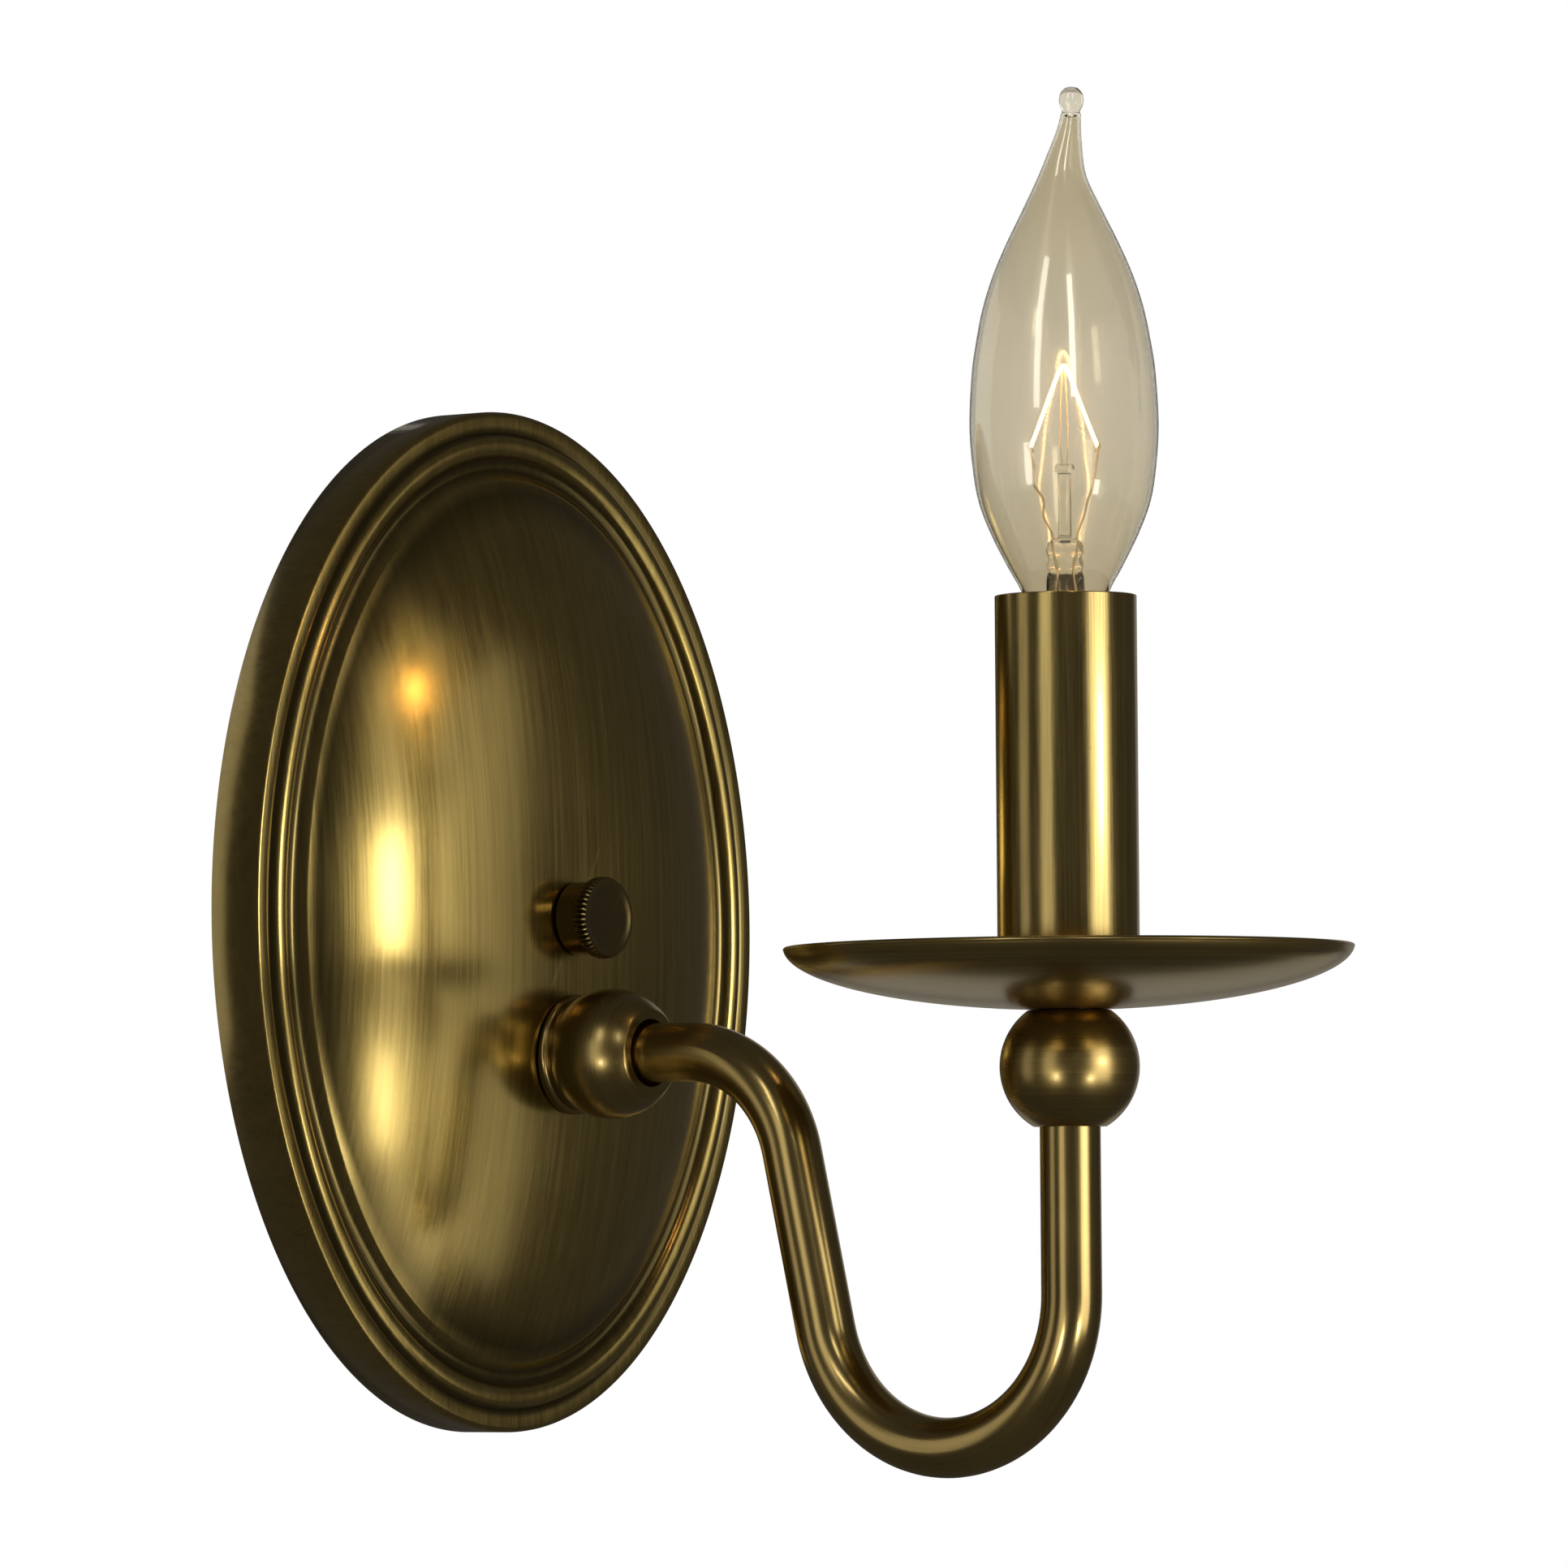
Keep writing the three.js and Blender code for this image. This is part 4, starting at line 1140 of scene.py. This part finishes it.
def fixture_wire(side, terminal_x):
    """From a terminal, down the candle, round the arm and out behind the plate to its nut."""
    x = side * WIRE_OFFSET
    inside = [(x, y, z) for _, y, z in reversed(gooseneck(-ARM_START, BALL_STEP_Z - GAP, 13.0))]
    return smooth_line([
        (terminal_x, -REACH, 18), (terminal_x * 0.8 + x * 0.2, -REACH, 8), (x, -REACH, -6), (x, -REACH, -20),
        *inside,
        (x, -26, HUB_Z), (x, -15, HUB_Z), (side * 3, -11, HUB_Z - 2),
        (side * 9, -NUT_HEIGHT, HUB_Z - 6),
        (side * (NUT_X - 1), -NUT_HEIGHT, NUT_MOUTH_Z + 7),
        (side * NUT_X, -NUT_HEIGHT, NUT_MOUTH_Z),
        (side * NUT_X, -NUT_HEIGHT, NUT_MOUTH_Z - 6),
    ], 6)


def ribbed(r, h, angle):
    """Grip ribs on the outside of a wire nut, fading towards its mouth."""
    if r < 2.7 or h > NUT_MOUTH_Z - 1.5:
        return r, h
    fade = hump(h - NUT_MOUTH_Z, -16.5, -14, -4, -1.5)
    return r - 0.32 * (0.5 + 0.5 * math.cos(angle * 12)) * fade, h


def make_wiring():
    skirt = [(3.4 + 1.2 * i / 8, -16 + 14 * i / 8) for i in range(9)]
    outline = shifted([(0, -17), (2.3, -17), (2.9, -16.7), *skirt, (4.95, -0.4), (4.8, 0), (3.8, 0),
                       (3.5, -0.3), (2.6, -8), (0, -8)], 0, NUT_MOUTH_Z)
    wires = (
        ("black_fixture_wire", 1, 0, black_cover, "wire_hot", "wire_nut_hot"),
        ("white_fixture_wire", -1, -6, white_cover, "wire_neutral", "wire_nut_neutral"),
    )
    for name, side, terminal_x, material, node, nut_node in wires:
        dress(swept(name, fixture_wire(side, terminal_x), WIRE_RADIUS, 14), material, node)

        def at_nut(x, y, h, side=side):
            return (x + side * NUT_X, y - NUT_HEIGHT, h)

        nut = turned(nut_node + "_cap", outline, 120, at_nut, ribbed, sharp=40)
        dress(nut, orange_nylon, nut_node)


for make in (make_backplate, make_knob, make_hub, make_arm, make_ball, make_pan, make_sleeve,
             make_bulb_glass, make_stem, make_filament, make_leads, make_bulb_base, make_strap, make_ground,
             make_hub_fixings, make_candle_fixings, make_socket, make_wiring):
    make()


# ---- floor, light and camera ----

FLOOR_Z = -0.62
YAW = math.radians(-53.52)
PITCH = math.radians(2.95)
ROLL = math.radians(-0.42)
CAMERA_PLACE = Vector((-1.32621, -1.04972, -0.06323))
LENS = 221.9

ahead = Vector((-math.sin(YAW) * math.cos(PITCH), math.cos(YAW) * math.cos(PITCH), math.sin(PITCH)))
level_right = ahead.cross(Vector((0, 0, 1))).normalized()
level_up = level_right.cross(ahead)
right = level_right * math.cos(ROLL) + level_up * math.sin(ROLL)
up = level_up * math.cos(ROLL) - level_right * math.sin(ROLL)


def make_camera():
    data = bpy.data.cameras.new("camera")
    data.lens = LENS
    data.sensor_width = 36
    data.clip_start = 0.05
    data.clip_end = 60
    camera = new_object("camera", data)
    turn = Matrix((right, up, -ahead)).transposed()
    camera.matrix_world = Matrix.Translation(CAMERA_PLACE) @ turn.to_4x4()
    bpy.context.scene.camera = camera


def make_floor():
    n = Nodes(bpy.data.materials.new("pale_floor"))
    soft = n.noise(n.here(), 3, 3.0)
    tone = n.mix(soft, (0.80, 0.79, 0.77), (0.85, 0.84, 0.82))
    n.surface(Base_Color=tone, Roughness=n.span(soft, 0.55, 0.7), Specular_IOR_Level=0.2)
    bm = bmesh.new()
    bmesh.ops.create_circle(bm, cap_ends=True, segments=128, radius=2.4)
    for v in bm.verts:
        v.co.z = FLOOR_Z
    mesh = bpy.data.meshes.new("floor")
    bm.to_mesh(mesh)
    bm.free()
    floor = new_object("floor", mesh)
    mesh.materials.append(n.owner)
    floor.visible_glossy = False
    floor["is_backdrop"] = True


def gather(name, pieces):
    group = bpy.data.collections.new(name)
    for piece in pieces:
        group.objects.link(piece)
    return group


WARM = (1.0, 0.96, 0.87)


def soft_light(name, place, size, radiance, lit, color=WARM):
    """An area light that shines on a group of pieces. Its place is the azimuth to the right of the
    camera's line, the elevation and the distance, seen from between the plate and the candle."""
    azimuth, elevation, distance = place
    wide, tall = size
    a, e = math.radians(azimuth), math.radians(elevation)
    level_back = Vector((-ahead.x, -ahead.y, 0)).normalized()
    way = (level_back * math.cos(a) + level_right * math.sin(a)) * math.cos(e) + Vector((0, 0, math.sin(e)))
    target = Vector((0, -REACH * MM * 0.6, 0))
    data = bpy.data.lights.new(name, "AREA")
    data.shape = "RECTANGLE"
    data.size = wide
    data.size_y = tall
    data.energy = radiance * math.pi * wide * tall
    data.color = color
    light = new_object(name, data)
    light.location = target + way * distance
    light.rotation_mode = "QUATERNION"
    light.rotation_quaternion = way.to_track_quat("Z", "Y")
    light.visible_camera = False
    light.light_linking.receiver_collection = lit


BEHIND_PLATE = ("wall_strap", "strap_nut", "threaded_stud", "ground_screw_head", "bare_ground_wire",
                "hub_threaded_nipple", "hub_back_washer", "hub_back_locknut", "black_fixture_wire",
                "white_fixture_wire", "wire_nut_hot_cap", "wire_nut_neutral_cap")


def make_lights():
    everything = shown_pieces()

    def named(*names):
        return [p for p in everything if p.name in names]

    shell = named("backplate_shell")
    behind = named(*BEHIND_PLATE)
    clear = [p for p in everything if p.data.materials[0] in (bulb_clear, stem_clear)]
    metal = [p for p in everything if p not in shell + clear + behind]
    plate = gather("lit_plate", shell)
    front = gather("lit_front", metal)
    glass = gather("lit_glass", clear)
    back = gather("lit_back", shell + behind)
    ground = gather("lit_floor", [bpy.data.objects["floor"]])
    under = gather("lit_from_under", named("spun_drip_pan", "turned_ball"))
    rear = gather("lit_rear", everything)
    for light in (
        ("plate_window", (68, -7, 1.25), (0.54, 1.8), 0.75, plate),
        ("plate_far_window", (89, -4, 1.25), (0.42, 1.2), 0.4, plate),
        ("plate_lamp", (67, 4.5, 1.25), (0.48, 0.24), 2.8, plate),
        ("plate_edge_lamp", (61, 4.5, 1.25), (0.14, 0.24), 6.5, plate),
        ("plate_low_lamp", (58.5, -17, 1.25), (0.1, 0.24), 6.0, plate),
        ("front_window", (53, 1, 1.25), (0.72, 1.0), 2.0, front),
        ("left_panel", (-33, 1, 1.25), (0.42, 0.9), 0.9, front),
        ("left_wide_panel", (-74, 1, 1.25), (0.4, 0.9), 0.5, front),
        ("front_lamp", (54, 5, 1.2), (0.17, 0.13), 16, front),
        ("low_lamp_left", (-22, -18, 1.2), (0.1, 0.1), 32, front),
        ("low_lamp_right", (35, -20, 1.2), (0.1, 0.1), 32, front),
        ("high_lamp_left", (-27, 31, 1.2), (0.06, 0.4), 8, front),
        ("high_lamp_right", (11, 28, 1.2), (0.06, 0.3), 8, front),
        ("glass_streak_left", (-33, 32, 1.2), (0.16, 0.9), 5, glass),
        ("glass_streak_right", (12, 30, 1.2), (0.14, 0.7), 6, glass),
        ("glass_low_left", (-46, -6, 1.2), (0.2, 0.26), 5, glass),
        ("glass_low_right", (42, -14, 1.2), (0.16, 0.2), 6, glass),
        ("under_fill", (178, -26, 1.3), (1.3, 0.5), 0.28, under),
        ("right_fill", (165, 8, 1.3), (0.9, 0.9), 0.25, front),
        ("rear_panel_left", (-122, 8, 1.3), (0.9, 0.9), 0.35, rear),
        ("rear_panel_far", (-150, 4, 1.3), (1.0, 0.8), 1.0, back, (1.0, 0.98, 0.95)),
        ("floor_light", (0, 88, 2.2), (2.5, 2.5), 5.6, ground, WHITE),
    ):
        soft_light(*light)


def make_world():
    """Pale to the camera and through glass; a dim warm room to everything that the metal reflects."""
    world = bpy.data.worlds.new("studio")
    n = Nodes(world, "OutputWorld")
    pale = n.add("Background", {"Color": WHITE})
    room = n.add("Background", {"Color": (1.0, 0.93, 0.82), "Strength": 0.05})
    path = n.add("LightPath")
    seen = n.math("MAXIMUM", path.outputs["Is Camera Ray"], path.outputs["Is Transmission Ray"])
    n.show(n.add("MixShader", {0: seen, 1: room.outputs[0], 2: pale.outputs[0]}))
    bpy.context.scene.world = world


make_camera()
make_floor()
make_lights()
make_world()
bpy.context.scene.view_settings.view_transform = "Standard"
